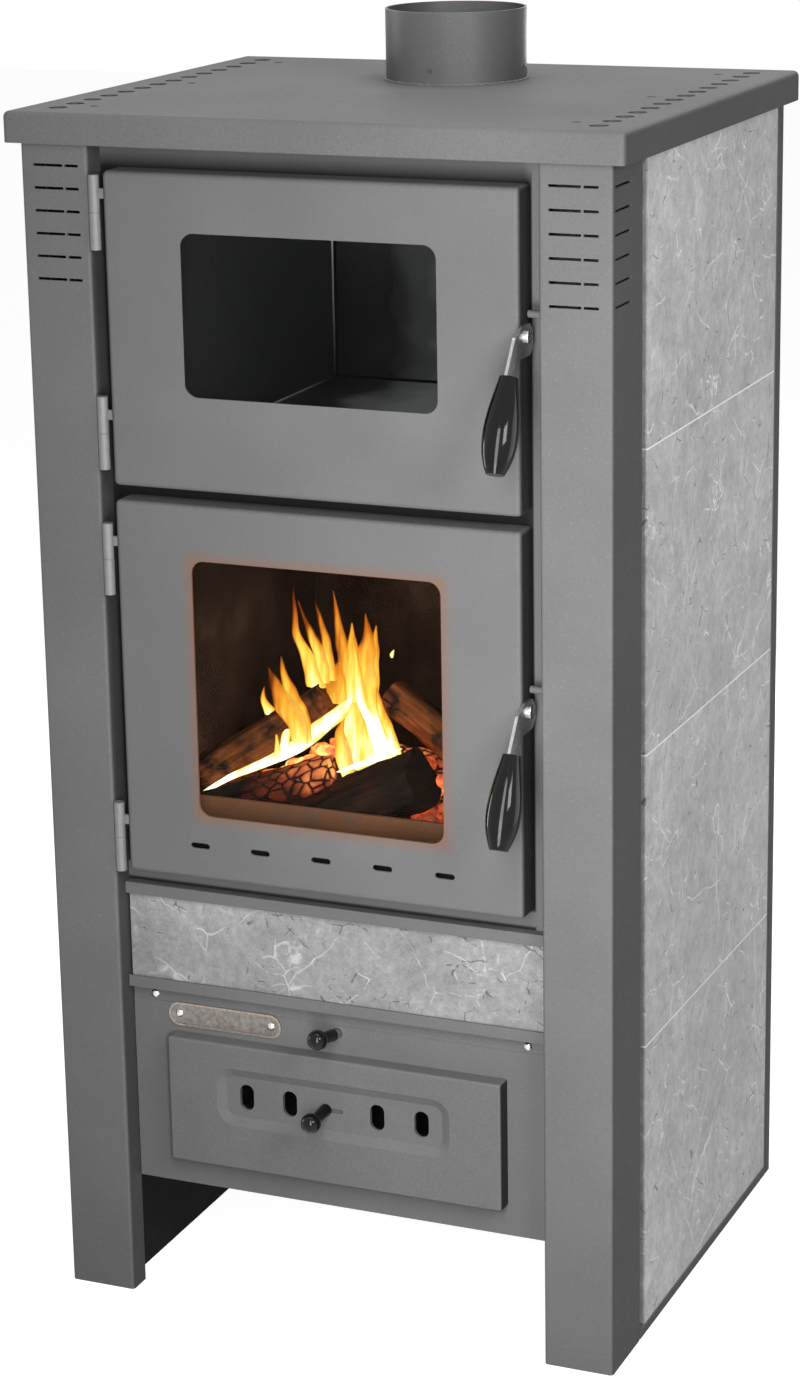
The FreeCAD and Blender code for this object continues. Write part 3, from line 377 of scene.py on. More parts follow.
def firebrick():
    """Pressed brick, smoked brown in patches."""
    shader = Shader("firebrick_soot", (0.2, 0.14, 0.09), 0.88, specular=0.03)
    color = shader.ramp(
        shader.noise(12.0, 5.0, 0.6),
        (0.25, (0.02, 0.010, 0.006)),
        (0.55, (0.07, 0.036, 0.022)),
        (0.85, (0.16, 0.085, 0.05)),
    )
    grit = shader.spread(shader.noise(420.0, 3.0, 0.7), 0.7, 1.3)
    shader.feed("Base Color", shader.times(color, grit))
    shader.bump(shader.noise(300.0, 5.0, 0.7), 0.5, 0.001)
    return shader.material


def iron(name, tone, rust):
    """Rough cast iron with a bloom of rust."""
    shader = Shader(name, tone, 0.72, specular=0.12)
    color = shader.spread(shader.noise(45.0, 5.0, 0.65), tone * 0.6, tone * 1.4)
    spread = 0.5 * rust
    bloom = shader.ramp(shader.noise(24.0, 6.0, 0.7), (0.62 - spread, 0.0), (0.86 - spread, 0.9))
    shader.feed("Base Color", shader.mix(bloom, color, RUST))
    shader.bump(shader.noise(520.0, 4.0, 0.7), 0.55, 0.0012)
    return shader.material


def plate_metal():
    """Pressed bronze plate: a dark patinated field inside a polished rim."""
    shader = Shader("plate_metal", (0.5, 0.46, 0.40), 0.34, metallic=1.0)
    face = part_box("name_plate")[0].y
    depth = shader.math("DIVIDE", shader.beyond("Y", face), MM)
    field = shader.ramp(depth, (0.15, 0.0), (0.45, 1.0))
    patina = shader.noise(260.0, 5.0, 0.65)
    patina = shader.spread(patina, (0.15, 0.135, 0.125), (0.31, 0.285, 0.265))
    rim = shader.spread(shader.noise(500.0, 3.0), (0.26, 0.215, 0.18), (0.42, 0.36, 0.31))
    shader.feed("Base Color", shader.mix(field, rim, patina))
    shader.feed("Roughness", shader.ramp(field, (0.0, 0.3), (1.0, 0.48)))
    shader.bump(shader.noise(800.0, 3.0), 0.25, 0.0004)
    return shader.material


def glass():
    """Clear ceramic glass that lets diffuse light and shadow rays straight through."""
    shader = Shader("door_glass", (0.93, 0.95, 0.94), 0.0, specular=0.05)
    shader.feed("Transmission Weight", 1.0)
    shader.feed("IOR", 1.09)
    rays = shader.add("ShaderNodeLightPath").outputs
    through = shader.math("MAXIMUM", rays["Is Shadow Ray"], rays["Is Diffuse Ray"])
    clear = shader.add("ShaderNodeBsdfTransparent", {"Color": (0.92, 0.94, 0.93)})
    shader.show(through, shader.surface, clear)
    return shader.material


def rope():
    """Grey glass-fibre braid."""
    shader = Shader("seal_rope", 0.26, 0.9, specular=0.15)
    fibre = shader.noise(1500.0, 3.0, 0.6)
    shader.feed("Base Color", shader.spread(fibre, (0.16, 0.155, 0.145), (0.36, 0.35, 0.33)))
    shader.feed("Sheen Weight", 0.2)
    shader.bump(fibre, 0.5, 0.0006)
    return shader.material


def weld_metal(name, tone, warmth, metallic=0.8, shade_at=None, reach=0.2):
    """Rippled weld bead, browned by the heat, and optionally darker towards a point, which is painted
    shade.
    """
    shader = Shader(name, tone, 0.5, metallic=metallic)
    cool = (tone, tone, tone * 1.02)
    warm = (tone * 1.05, tone * 0.72, tone * 0.48)
    browned = shader.ramp(shader.noise(120.0, 3.0, 0.6), (0.35, 0.0), (0.6, warmth))
    color = shader.mix(browned, cool, warm)
    # Painted shade: darker near the point given
    if shade_at:
        inputs = {0: shader.place(), 1: shade_at}
        away = shader.add("ShaderNodeVectorMath", inputs, operation="DISTANCE").outputs["Value"]
        weld_shade = shader.ramp(shader.math("DIVIDE", away, reach), (0.1, 0.05), (0.9, 1.0))
        color = shader.times(color, weld_shade)
    shader.feed("Base Color", color)
    shader.bump(shader.noise(900.0, 3.0), 0.4, 0.0005)
    return shader.material


# Wood, coals and flames

EMBER_GLOW = 2.4
FLAME_GLOW = 2.0


def burning_wood(name, bark, glow):
    """Log with grain along its length, burnt through to glowing plates where it is hot."""
    shader = Shader(name, bark, 0.85, specular=0.02)
    along = shader.attribute("grain", "Vector")
    heat = shader.attribute("warmth")
    fibre = shader.noise(210.0, 6.0, 0.65, shader.place((0.09, 1, 1), along))
    patch = shader.noise(38.0, 4.0, 0.6, along)

    wood = shader.times(bark, shader.ramp(fibre, (0.30, 0.25), (0.52, 0.8), (0.75, 1.7)))
    charcoal = shader.ramp(fibre, (0.3, (0.004, 0.003, 0.003)), (0.8, (0.03, 0.022, 0.018)))
    burnt = shader.math("ADD", patch, shader.math("MULTIPLY", heat, 0.3))
    burnt = shader.ramp(burnt, (0.46, 0.0), (0.62, 1.0))
    shader.feed("Base Color", shader.mix(burnt, wood, charcoal))

    plates = shader.cells(105.0, shader.place((0.75, 1, 1), along))
    plates = shader.ramp(plates, (0.03, 0.0), (0.10, 0.75), (0.22, 1.0))
    lit = shader.math("MULTIPLY", shader.math("POWER", heat, 1.3), plates)
    lit = shader.math("MULTIPLY", lit, shader.ramp(patch, (0.30, 0.25), (0.62, 1.0)))
    light = shader.ramp(
        lit,
        (0.0, (0.30, 0.02, 0.0)),
        (0.45, (0.75, 0.16, 0.05)),
        (1.0, (1.0, 0.42, 0.09)),
    )
    shader.feed("Emission Color", light)
    shader.feed("Emission Strength", shader.math("MULTIPLY", lit, glow))
    relief = shader.math("MULTIPLY", plates, heat)
    shader.bump(shader.math("ADD", relief, shader.math("MULTIPLY", fibre, 0.5)), 0.8, 0.003)
    return shader.material


def ember():
    """Glowing coal under a skin of ash."""
    shader = Shader("ember", 0.05, 0.9, specular=0.1)
    lumps = shader.noise(70.0, 5.0, 0.65)
    ash = shader.ramp(lumps, (0.3, (0.02, 0.016, 0.014)), (0.8, (0.16, 0.12, 0.10)))
    shader.feed("Base Color", ash)
    bare = shader.spread(lumps, 1.3, 0.35)
    heat = shader.math("MULTIPLY", shader.attribute("warmth"), bare)
    heat = shader.ramp(heat, (0.1, 0.0), (1.0, 1.0))
    light = shader.ramp(
        heat,
        (0.0, (0.45, 0.02, 0.0)),
        (0.5, (1.0, 0.13, 0.015)),
        (1.0, (1.0, 0.5, 0.12)),
    )
    shader.feed("Emission Color", light)
    shader.feed("Emission Strength", shader.math("MULTIPLY", heat, EMBER_GLOW))
    shader.bump(shader.noise(300.0, 4.0), 0.6, 0.002)
    return shader.material


def flame():
    """Flame that is white at its root, then yellow, and thins to a clear red tip."""
    shader = Shader("flame", 0.0, 1.0, specular=0.0)
    broad = shader.noise(48.0, 3.0, 0.55, shader.place((1.5, 1.5, 0.32)))
    fine = shader.noise(150.0, 2.0, 0.5, shader.place((1.4, 1.4, 0.20)))
    streak = shader.math("ADD", shader.swing(broad, 1.0), shader.swing(fine, 0.45))
    spent = shader.math("ADD", shader.attribute("spent"), streak)
    color = shader.ramp(
        spent,
        (0.00, (1.0, 0.95, 0.70)),
        (0.12, (1.0, 0.88, 0.36)),
        (0.28, (1.0, 0.74, 0.11)),
        (0.48, (1.0, 0.46, 0.035)),
        (0.68, (1.0, 0.25, 0.016)),
        (0.96, (0.60, 0.075, 0.006)),
    )
    strength = shader.ramp(spent, (0.0, 0.95), (0.18, 0.66), (0.6, 0.50), (1.0, 0.24))
    strength = shader.math("MULTIPLY", strength, FLAME_GLOW)
    body = shader.ramp(spent, (0.30, 1.0), (0.58, 0.72), (0.80, 0.26), (1.02, 0.0))
    clear = shader.add("ShaderNodeBsdfTransparent")
    light = shader.add("ShaderNodeEmission", {"Color": color, "Strength": strength})
    shader.show(body, clear, light)
    return shader.material


# Finishes of the CAD nodes

TILE_EDGE = 0.0003
STRIP_EDGE = 0.0005
BRICK_EDGE = 0.002


def dress(material, *names):
    for name in names:
        slots = nodes[name].data.materials
        slots.clear()
        slots.append(material)


def soften_edges(name, width):
    bevel = nodes[name].modifiers.new("edge", "BEVEL")
    bevel.width = width
    bevel.segments = 2
    bevel.limit_method = "ANGLE"


tile_low, tile_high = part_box("right_side_tiles")
tile_pitch = (tile_high.z - tile_low.z) / TILE_COURSES
glass_low, glass_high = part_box("fire_glass")
lap = Vector((GLASS_LAP, 0.0, GLASS_LAP))
fire_window = (glass_low + lap, glass_high - lap)
door_edges = (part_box("strip_rails")[1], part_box("fire_door_pan")[0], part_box("oven_door_pan")[1])

# Painted shade: the sideways faces of posts, rails and panels take the darker side tone
dress(
    paint("grey_paint"),
    "top_plate", "collar_rivets", "latch_strikers", "left_front_post", "right_front_post",
    "left_rear_post", "right_rear_post", "left_base_rail", "right_base_rail",
    "left_side_panel", "right_side_panel", "back_panel", "strip_rails", "lower_front_panel",
)
# Painted shade: the frame goes dark in the gaps round the doors
dress(paint("frame_paint", doors=door_edges), "front_frame")
# Painted shade: the door and drawer faces that turn sideways go darker
dress(paint("door_paint", side=DOOR_SIDE_SHADE), "oven_door_pan", "ash_drawer_front")
# Painted shade: the side tone darkens the collar's left and right flanks
dress(paint("collar_paint", 0.185, 0.40, 0.15), "flue_collar")
# Painted shade on the door's sideways faces, and painted firelight round its window
dress(paint("fire_door_paint", side=DOOR_SIDE_SHADE, window=fire_window), "fire_door_pan")
# Near-black liners: soot, and painted shade in the slots and gaps that show them
dress(dull_steel("soot_and_shade_sheet", 0.02, 0.05), "oven_door_liner", "fire_door_liner")
# Painted light and shade: one stone in two tones, paler on the side tiles and darker in the front
# strip, for how the lamps fall on them
dress(stone("side_stone", 0.46, tile_low.z, tile_pitch, 0.585), "left_side_tiles", "right_side_tiles")
dress(stone("strip_stone", 0.32, 0.0, 1.0, 0.57), "strip_tile")
dress(gloss_black(), "oven_handle_grip", "fire_handle_grip", "shutter_knob", "grate_knob")
dress(
    steel("zinc_steel", 0.22, 0.60, (1, 1, 0.12), stain=0.2, metallic=0.2),
    "hinge_pins", "oven_door_knuckles", "fire_door_knuckles",
)
dress(
    steel("lever_steel", 0.46, 0.34, (1, 0.3, 1)),
    "oven_handle_lever", "fire_handle_lever", "grate_rod",
    "oven_glass_clips", "fire_glass_clips", "grate_runners", "drawer_runners",
)
bright_steel = steel("bright_steel", 0.66, 0.24)
dress(bright_steel, "panel_screws", "plate_rivets", "oven_latch_bolt", "fire_latch_bolt")
dress(plate_metal(), "name_plate")
dress(enamel(), "oven_liner")
dress(dull_steel("rolled_sheet", 0.10), "ash_drawer_box", "shutter_guides", "air_shutter")
dress(dull_steel("black_sheet", 0.010, 0.02), "body_walls", "base_skirts", "bottom_plate")
dress(firebrick(), "left_firebricks", "right_firebricks", "back_firebricks")
dress(iron("cast_iron", 0.05, 0.2), "moving_grate", "grate_bed_plate")
dress(iron("rusty_iron", 0.09, 0.85), "log_guard")
dress(glass(), "oven_glass", "fire_glass")

soften_edges("strip_tile", STRIP_EDGE)
for side in ("left", "right"):
    soften_edges(side + "_side_tiles", TILE_EDGE)
for side in ("left", "right", "back"):
    soften_edges(side + "_firebricks", BRICK_EDGE)


# Meshes

UP = Vector((0, 0, 1))
BOX_FACES = ((0, 1, 3, 2), (4, 6, 7, 5), (0, 4, 5, 1), (2, 3, 7, 6), (0, 2, 6, 4), (1, 5, 7, 3))


class Build:
    """Points, faces and point values of one mesh, grown a closed form at a time."""

    def __init__(self):
        self.points = []
        self.faces = []
        self.values = {}

    def add(self, points, faces, **values):
        base = len(self.points)
        self.points += points
        self.faces += [tuple(base + i for i in face) for face in faces]
        for key, numbers in values.items():
            self.values.setdefault(key, []).extend(numbers)

    def box(self, low, high):
        sides = list(zip(low, high))
        self.add([Vector((x, y, z)) for x in sides[0] for y in sides[1] for z in sides[2]], BOX_FACES)

    def rings(self, rings, closed=False, **values):
        """Skin over equal rings of points, capped at both ends or closed on itself."""
        sides = len(rings[0])
        count = len(rings)
        faces = []
        for row in range(count if closed else count - 1):
            here = row * sides
            there = (row + 1) % count * sides
            for i in range(sides):
                j = (i + 1) % sides
                faces.append((here + i, here + j, there + j, there + i))
        if not closed:
            faces.append(tuple(range(sides))[::-1])
            faces.append(tuple((count - 1) * sides + i for i in range(sides)))
        self.add([p for ring in rings for p in ring], faces, **values)

    def piece(self, name, material, slot, body="root", smooth=True):
        """New object that rides on a body; the values are kept on its points."""
        mesh = bpy.data.meshes.new(name)
        mesh.from_pydata([tuple(p) for p in self.points], [], self.faces)
        mesh.validate()
        for key, numbers in self.values.items():
            if isinstance(numbers[0], Vector):
                attribute = mesh.attributes.new(key, "FLOAT_VECTOR", "POINT")
                attribute.data.foreach_set("vector", [c for v in numbers for c in v])
            else:
                attribute = mesh.attributes.new(key, "FLOAT", "POINT")
                attribute.data.foreach_set("value", numbers)
        shape = bmesh.new()
        shape.from_mesh(mesh)
        bmesh.ops.recalc_face_normals(shape, faces=shape.faces)
        shape.to_mesh(mesh)
        shape.free()
        mesh.polygons.foreach_set("use_smooth", [smooth] * len(mesh.polygons))
        mesh.materials.append(material)
        piece = bpy.data.objects.new(name, mesh)
        bpy.context.scene.collection.objects.link(piece)
        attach(piece, body)
        return piece


def circle(centre, across, up, radius, sides):
    ring = []
    for i in range(sides):
        angle = 2 * math.pi * i / sides
        ring.append(centre + across * (radius * math.cos(angle)) + up * (radius * math.sin(angle)))
    return ring


def square_axes(direction):
    """Two unit vectors across a direction."""
    direction = direction.normalized()
    guide = UP if abs(direction.z) < 0.9 else Vector((1, 0, 0))
    across = direction.cross(guide).normalized()
    return across, across.cross(direction)


# Joints between the tiles

JOINT = 0.0015
JOINT_SINK = 0.0001


def tile_joints():
    build = Build()
    for name in ("left_side_tiles", "right_side_tiles"):
        low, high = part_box(name)
        height = (high.z - low.z - (TILE_COURSES - 1) * JOINT) / TILE_COURSES
        for course in range(1, TILE_COURSES):
            top = low.z + course * (height + JOINT)
            start = Vector((low.x + JOINT_SINK, low.y + JOINT_SINK, top - JOINT))
            end = Vector((high.x - JOINT_SINK, high.y - JOINT_SINK, top))
            build.box(start, end)
    build.piece("tile_joints", grout(), "stone_tile", smooth=False)


# Rope seals of the doors

ROPE_STRANDS = 4
ROPE_LAY = 0.030
ROPE_STEP = 0.004
ROPE_CORNER = 0.012
ROPE_CORNER_STEPS = 8
STRAND_SHARE = 0.47
STRAND_SIDES = 8


def rounded_loop(half_x, half_z):
    """Points round a rectangle with the rope's corners, in the X-Z plane."""
    bends = []
    for index, (sx, sz) in enumerate(((1, 1), (-1, 1), (-1, -1), (1, -1))):
        centre = Vector((sx * (half_x - ROPE_CORNER), 0, sz * (half_z - ROPE_CORNER)))
        for i in range(ROPE_CORNER_STEPS + 1):
            angle = math.pi / 2 * (index + i / ROPE_CORNER_STEPS)
            bends.append(centre + Vector((math.cos(angle), 0, math.sin(angle))) * ROPE_CORNER)
    path = []
    for a, b in zip(bends, bends[1:] + bends[:1]):
        count = max(1, round((b - a).length / ROPE_STEP))
        path += [a.lerp(b, i / count) for i in range(count)]
    return path


def rope_seal(door, material):
    """Twisted strands laid round the door's liner, in place of the plain ring."""
    low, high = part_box(door + "_door_seal")
    middle = (low + high) / 2
    radius = (high.y - low.y) / 2
    half_x = (high.x - low.x) / 2 - radius
    half_z = (high.z - low.z) / 2 - radius
    path = [middle + p for p in rounded_loop(half_x, half_z)]
    lengths = [(b - a).length for a, b in zip(path, path[1:] + path[:1])]
    whole = sum(lengths)
    turns = round(whole / ROPE_LAY)
    strand = radius * STRAND_SHARE
    out = Vector((0, 1, 0))
    build = Build()
    for index in range(ROPE_STRANDS):
        rings = []
        travelled = 0.0
        for i, point in enumerate(path):
            tangent = (path[(i + 1) % len(path)] - path[i - 1]).normalized()
            across = tangent.cross(out)
            angle = 2 * math.pi * (turns * travelled / whole + index / ROPE_STRANDS)
            centre = point + (across * math.cos(angle) + out * math.sin(angle)) * (radius - strand)
            rings.append(circle(centre, across, out, strand, STRAND_SIDES))
            travelled += lengths[i]
        build.rings(rings, closed=True)
    piece = build.piece(door + "_rope_seal", material, "seal_rope", door + "_door")
    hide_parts(door + "_door_seal")


# Weld beads

BEAD_SIDES = 8
BEAD_SWELL = 0.14
BEAD_UNEVEN = 0.05
BEAD_DRIFT = 0.08
BEAD_TIP = 0.35
RINGS_PER_RIPPLE = 4
RIPPLE = 0.0032
HINGE_WELD = 0.018
HINGE_WELD_RISE = 0.015
HINGE_WELD_RADIUS = 0.0015
HINGE_WELD_INSET = 0.0006
HINGE_WELD_DEPTH = 0.0016
OVEN_RIPPLE = 0.005
OVEN_WELD_RADIUS = 0.0010
OVEN_WELD_START = 0.004
# Painted shade: the width of the black strips in the oven's back corners
SHADE_STRIP = 0.0022
COLLAR_SEAM_ANGLE = 133.0
COLLAR_SEAM_RADIUS = 0.0011
COLLAR_SEAM_DROP = 0.012
COLLAR_BEAD_RADIUS = 0.0011
COLLAR_LUMP = 0.0007
COLLAR_RIPPLE = 0.00025
COLLAR_RIPPLES = 46
COLLAR_STEPS = 220
COLLAR_LIFT = 0.0003


def bead(build, start, end, radius, rng, ripple=RIPPLE):
    """Bumpy bead of weld metal between two points."""
    length = (end - start).length
    across, up = square_axes(end - start)
    count = max(6, round(length / ripple * RINGS_PER_RIPPLE))
    rings = []
    for i in range(count + 1):
        t = i / count
        swell = 1 - BEAD_SWELL + BEAD_SWELL * math.cos(2 * math.pi * t * length / ripple)
        swell += rng.uniform(-BEAD_UNEVEN, BEAD_UNEVEN)
        taper = min(1.0, BEAD_TIP + 6.0 * min(t, 1 - t))
        drift = across * rng.uniform(-BEAD_DRIFT, BEAD_DRIFT) * radius
        rings.append(circle(start.lerp(end, t) + drift, across, up, radius * swell * taper, BEAD_SIDES))
    build.rings(rings)


def islands(name):
    """Lowest corners of the separate solids in a CAD node, from the lowest solid up."""
    shape = bmesh.new()
    shape.from_mesh(nodes[name].data)
    bmesh.ops.remove_doubles(shape, verts=shape.verts, dist=1e-6)
    left = set(shape.verts)
    found = []
    while left:
        reach = [left.pop()]
        group = []
        while reach:
            vert = reach.pop()
            group.append(vert.co.copy())
            for edge in vert.link_edges:
                other = edge.other_vert(vert)
                if other in left:
                    left.remove(other)
                    reach.append(other)
        found.append(Vector(min(p[i] for p in group) for i in range(3)))
    shape.free()
    return sorted(found, key=lambda corner: corner.z)


def hinge_welds():
    """Beads where the lower knuckles meet the left post."""
    rng = random.Random(3)
    build = Build()
    for low in islands("hinge_pins"):
        x = low.x + HINGE_WELD_INSET
        middle = low.z + HINGE_WELD_RISE
        start = behind_front(x, HINGE_WELD_DEPTH, middle - HINGE_WELD / 2)
        end = behind_front(x, HINGE_WELD_DEPTH, middle + HINGE_WELD / 2)
        bead(build, start, end, HINGE_WELD_RADIUS, rng)
    build.piece("hinge_welds", weld_metal("hinge_weld", 0.36, 0.9), "zinc_steel")


def oven_welds():
    """Ground weld seams in the corners of the oven box, and black strips of painted shade in the gaps
    along its back.
    """
    rng = random.Random(5)
    low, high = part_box("oven_liner")
    left, right = low.x + SHEET, high.x - SHEET
    floor, roof = low.z + SHEET, high.z - SHEET
    back = high.y - SHEET
    front = low.y + OVEN_WELD_START
    sink = OVEN_WELD_RADIUS / 2
    build = Build()
    for x in (left + sink, right - sink):
        seams = (
            (Vector((x, back - sink, floor)), Vector((x, back - sink, roof))),
            (Vector((x, front, floor + sink)), Vector((x, back, floor + sink))),
        )
        for start, end in seams:
            bead(build, start, end, OVEN_WELD_RADIUS, rng, OVEN_RIPPLE)
    # Painted shade: the seams darken towards the back corner at the floor
    metal = weld_metal("oven_weld", 0.85, 0.1, 0.2, (left, back, floor), (roof - floor) * 0.8)
    build.piece("oven_welds", metal, "inner_steel")

    # Painted shade: black strips in the back corners stand for the shaded gaps there
    build = Build()
    build.box(Vector((left, back - SHADE_STRIP, floor)), Vector((right, back, floor + SHADE_STRIP)))
    for x in (left + 2 * OVEN_WELD_RADIUS, right - 2 * OVEN_WELD_RADIUS - SHADE_STRIP):
        start = Vector((x, back - SHADE_STRIP * 0.4, floor + SHADE_STRIP))
        build.box(start, Vector((x + SHADE_STRIP, back, roof)))
    build.piece("oven_shade_strips", dull_steel("gap_shade_black", 0.004, 0.02), "inner_steel", smooth=False)


def collar_welds():
    """Bead round the foot of the flue collar, and the upright seam inside it."""
    rng = random.Random(8)
    rivets_low, rivets_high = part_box("collar_rivets")
    centre = (rivets_low + rivets_high) / 2
    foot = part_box("top_plate")[1].z
    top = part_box("flue_collar")[1].z
    rings = []
    for i in range(COLLAR_STEPS):
        angle = 2 * math.pi * i / COLLAR_STEPS
        out = Vector((math.cos(angle), math.sin(angle), 0))
        lump = noise.noise(Vector((out.x * 14, out.y * 14, 2.0)))
        ripple = math.sin(COLLAR_RIPPLES * angle)
        size = COLLAR_BEAD_RADIUS + COLLAR_LUMP * max(0.0, lump) + COLLAR_RIPPLE * ripple
        place = Vector((centre.x, centre.y, foot + COLLAR_LIFT))
        place += out * (COLLAR_RADIUS + COLLAR_LIFT)
        rings.append(circle(place, out, UP, size, BEAD_SIDES))
    build = Build()
    build.rings(rings, closed=True)
    angle = math.radians(COLLAR_SEAM_ANGLE)
    out = Vector((math.cos(angle), math.sin(angle), 0))
    start = Vector((centre.x, centre.y, foot - COLLAR_SEAM_DROP)) + out * (COLLAR_RADIUS - SHEET)
    bead(build, start, Vector((start.x, start.y, top - MM)), COLLAR_SEAM_RADIUS, rng)
    build.piece("collar_welds", nodes["flue_collar"].data.materials[0], "heat_paint")


# Logs

LOG_SIDES = 30
LOG_STEP = 0.005
LOG_CLOSE = (1.0, 0.86, 0.30)  # shares of the radius along a log and in the rings that close it
LOG_RAGGED = (-0.002, 0.003)
LOG_BEND = 0.10
LOG_LUMP = 0.10
LOG_RIDGE = 0.05
LOG_CHECK = 0.05
LOW_LOG = 0.029
LOW_HEAT = (0.4, 0.4)


def log(build, start, end, radius, seed, hot=(0.0, 0.0), flats=(), hot_side=None):
    """Split log between two places (x, depth, z): bark ridges, flat split faces and ragged ends.

    hot is the heat at both ends, flats the angle and share of the radius of each split face, and
    hot_side the direction that the hot side faces."""
    rng = random.Random(seed)
    start = behind_front(*start)
    end = behind_front(*end)
    along = (end - start).normalized()
    across, up = square_axes(end - start)
    length = (end - start).length
    heat_side = Vector(hot_side).normalized() if hot_side else None
    count = max(14, round(length / LOG_STEP))
    extra = len(LOG_CLOSE) - 1
    rings = []
    heat = []
    grain = []
    for row in range(-extra, count + extra + 1):
        past = max(0, -row, row - count)
        t = min(1.0, max(0.0, row / count))
        run = t * length
        ragged = rng.uniform(*LOG_RAGGED) if past else 0.0
        axis = start.lerp(end, t) + along * (ragged if row > 0 else -ragged)
        axis = axis + across * (LOG_BEND * radius * noise.noise(Vector((t * 3.0, seed, 0.3))))
        ring = []
        for i in range(LOG_SIDES):
            angle = 2 * math.pi * i / LOG_SIDES
            cosine = math.cos(angle)
            sine = math.sin(angle)
            reach = radius
            for flat_angle, share in flats:
                facing = math.cos(angle - math.radians(flat_angle))
                if facing > 0.05:
                    reach = min(reach, radius * share / facing)
            lump = noise.noise(Vector((cosine * 1.6, sine * 1.6, run * 26 + seed)))
            ridge = noise.noise(Vector((angle * 4.0, run * 40, seed + 5.0)))
            check = noise.noise(Vector((cosine * 7, sine * 7, run * 150 + seed)))
            reach *= LOG_CLOSE[past] * (1 + LOG_LUMP * lump + LOG_RIDGE * ridge + LOG_CHECK * check)
            direction = across * cosine + up * sine
            ring.append(axis + direction * reach)
            grain.append(Vector((run + seed, cosine * reach, sine * reach)))
            warm = hot[0] + (hot[1] - hot[0]) * t
            if heat_side is not None:
                warm *= max(0.0, direction.dot(heat_side)) ** 0.6
            heat.append(max(0.0, min(1.0, warm + 0.25 * lump)) if warm > 0.02 else 0.0)
        rings.append(ring)
    build.rings(rings, warmth=heat, grain=grain)


def fire_logs():
    """Logs stacked from the firebox floor up to the ones that show through the glass."""
    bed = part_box("grate_bed_plate")[1].z
    first, second, third = (bed + radii * LOW_LOG for radii in (1, 3, 4.7))
    build = Build()
    for side in (-1, 1):
        depth = 0.205 + 0.085 * side
        log(build, (-0.15, depth, first), (0.15, depth, first), LOW_LOG, 20 + side, LOW_HEAT)
    for side in (-1, 1):
        x = 0.09 * side
        log(build, (x, 0.07, second), (x, 0.33, second), LOW_LOG, 23 + side, LOW_HEAT)
    log(build, (-0.158, 0.150, third), (0.10, 0.150, third + 0.004), 0.030, 31, (0.5, 0.6))
    log(build, (-0.150, 0.090, third - 0.006), (0.12, 0.082, third + 0.002), 0.026, 32, (0.4, 0.5))
    build.piece("lower_logs", burning_wood("lower_log_wood", (0.05, 0.022, 0.012), 0.8), "firebrick")

    build = Build()
    log(build, (-0.170, 0.116, 0.439), (-0.046, 0.108, 0.520), 0.0175, 41, flats=((80, 0.72),))
    log(
        build, (0.002, 0.144, 0.521), (0.080, 0.132, 0.476), 0.0165, 44,
        (0.9, -0.7), ((100, 0.8),), (-0.5, -0.6, -0.6),
    )
    build.piece("upper_logs", burning_wood("bark_wood", (0.24, 0.07, 0.022), 0.5), "firebrick")

    build = Build()
    log(
        build, (-0.160, 0.084, 0.412), (-0.027, 0.092, 0.463), 0.0185, 42,
        (-0.75, 1.15), ((70, 0.8),), (0.2, -0.7, 0.7),
    )
    log(
        build, (-0.082, 0.078, 0.400), (0.060, 0.072, 0.475), 0.0265, 43,
        (0.1, 0.0), ((60, 0.78), (170, 0.8)),
    )
    log(build, (-0.020, 0.150, 0.450), (0.110, 0.150, 0.452), 0.022, 45, (0.9, 0.5))
    build.piece("front_logs", burning_wood("charred_wood", (0.035, 0.018, 0.011), 1.5), "firebrick")


# Coals

# Place (x, depth, z), spread and slope of each heap, then the count, size and heat of its coals
HEAPS = (
    ((0.078, 0.068, 0.436), (0.030, 0.012, 0.018), 0.0, 46, 0.0052, 0.42),
    ((-0.078, 0.112, 0.448), (0.040, 0.014, 0.012), 0.55, 60, 0.0058, 1.0),
    ((0.02, 0.110, 0.448), (0.045, 0.014, 0.012), 0.3, 60, 0.0046, 1.0),
    ((0.060, 0.100, 0.470), (0.030, 0.014, 0.012), 0.0, 26, 0.0055, 0.7),
    ((0.070, 0.068, 0.414), (0.040, 0.014, 0.010), 0.0, 30, 0.0070, 0.22),
)


def embers():
    """Heaps of coals on the front right of the pile and between the logs."""
    rng = random.Random(12)
    build = Build()
    for middle, spread, slope, count, size, heat in HEAPS:
        for _ in range(count):
            away = Vector(rng.uniform(-1, 1) * reach for reach in spread)
            away.z += slope * away.x
            centre = behind_front(*middle) + away
            coal(build, centre, size * rng.uniform(0.7, 1.25), heat * rng.uniform(0.55, 1.0), rng)
    build.piece("embers", ember(), "firebrick")


def coal(build, centre, size, heat, rng):
    """Angular lump."""
    seed = Vector((rng.uniform(0, 50), rng.uniform(0, 50), rng.uniform(0, 50)))
    stretch = Vector((rng.uniform(0.8, 1.4), rng.uniform(0.8, 1.2), rng.uniform(0.7, 1.0)))
    shape = bmesh.new()
    bmesh.ops.create_icosphere(shape, subdivisions=2, radius=1.0)
    points = []
    for vert in shape.verts:
        bump = 1 + 0.30 * noise.noise(vert.co * 1.4 + seed) + 0.22 * noise.noise(vert.co * 4.0 + seed)
        points.append(centre + Vector(a * b for a, b in zip(vert.co * (size * bump), stretch)))
    faces = [tuple(v.index for v in face.verts) for face in shape.faces]
    shape.free()
    build.add(points, faces, warmth=[heat] * len(points))


# Flames

TALL = (0.02, 0.70)
BEHIND = (0.16, 0.82)
LEFT = (0.10, 0.80)

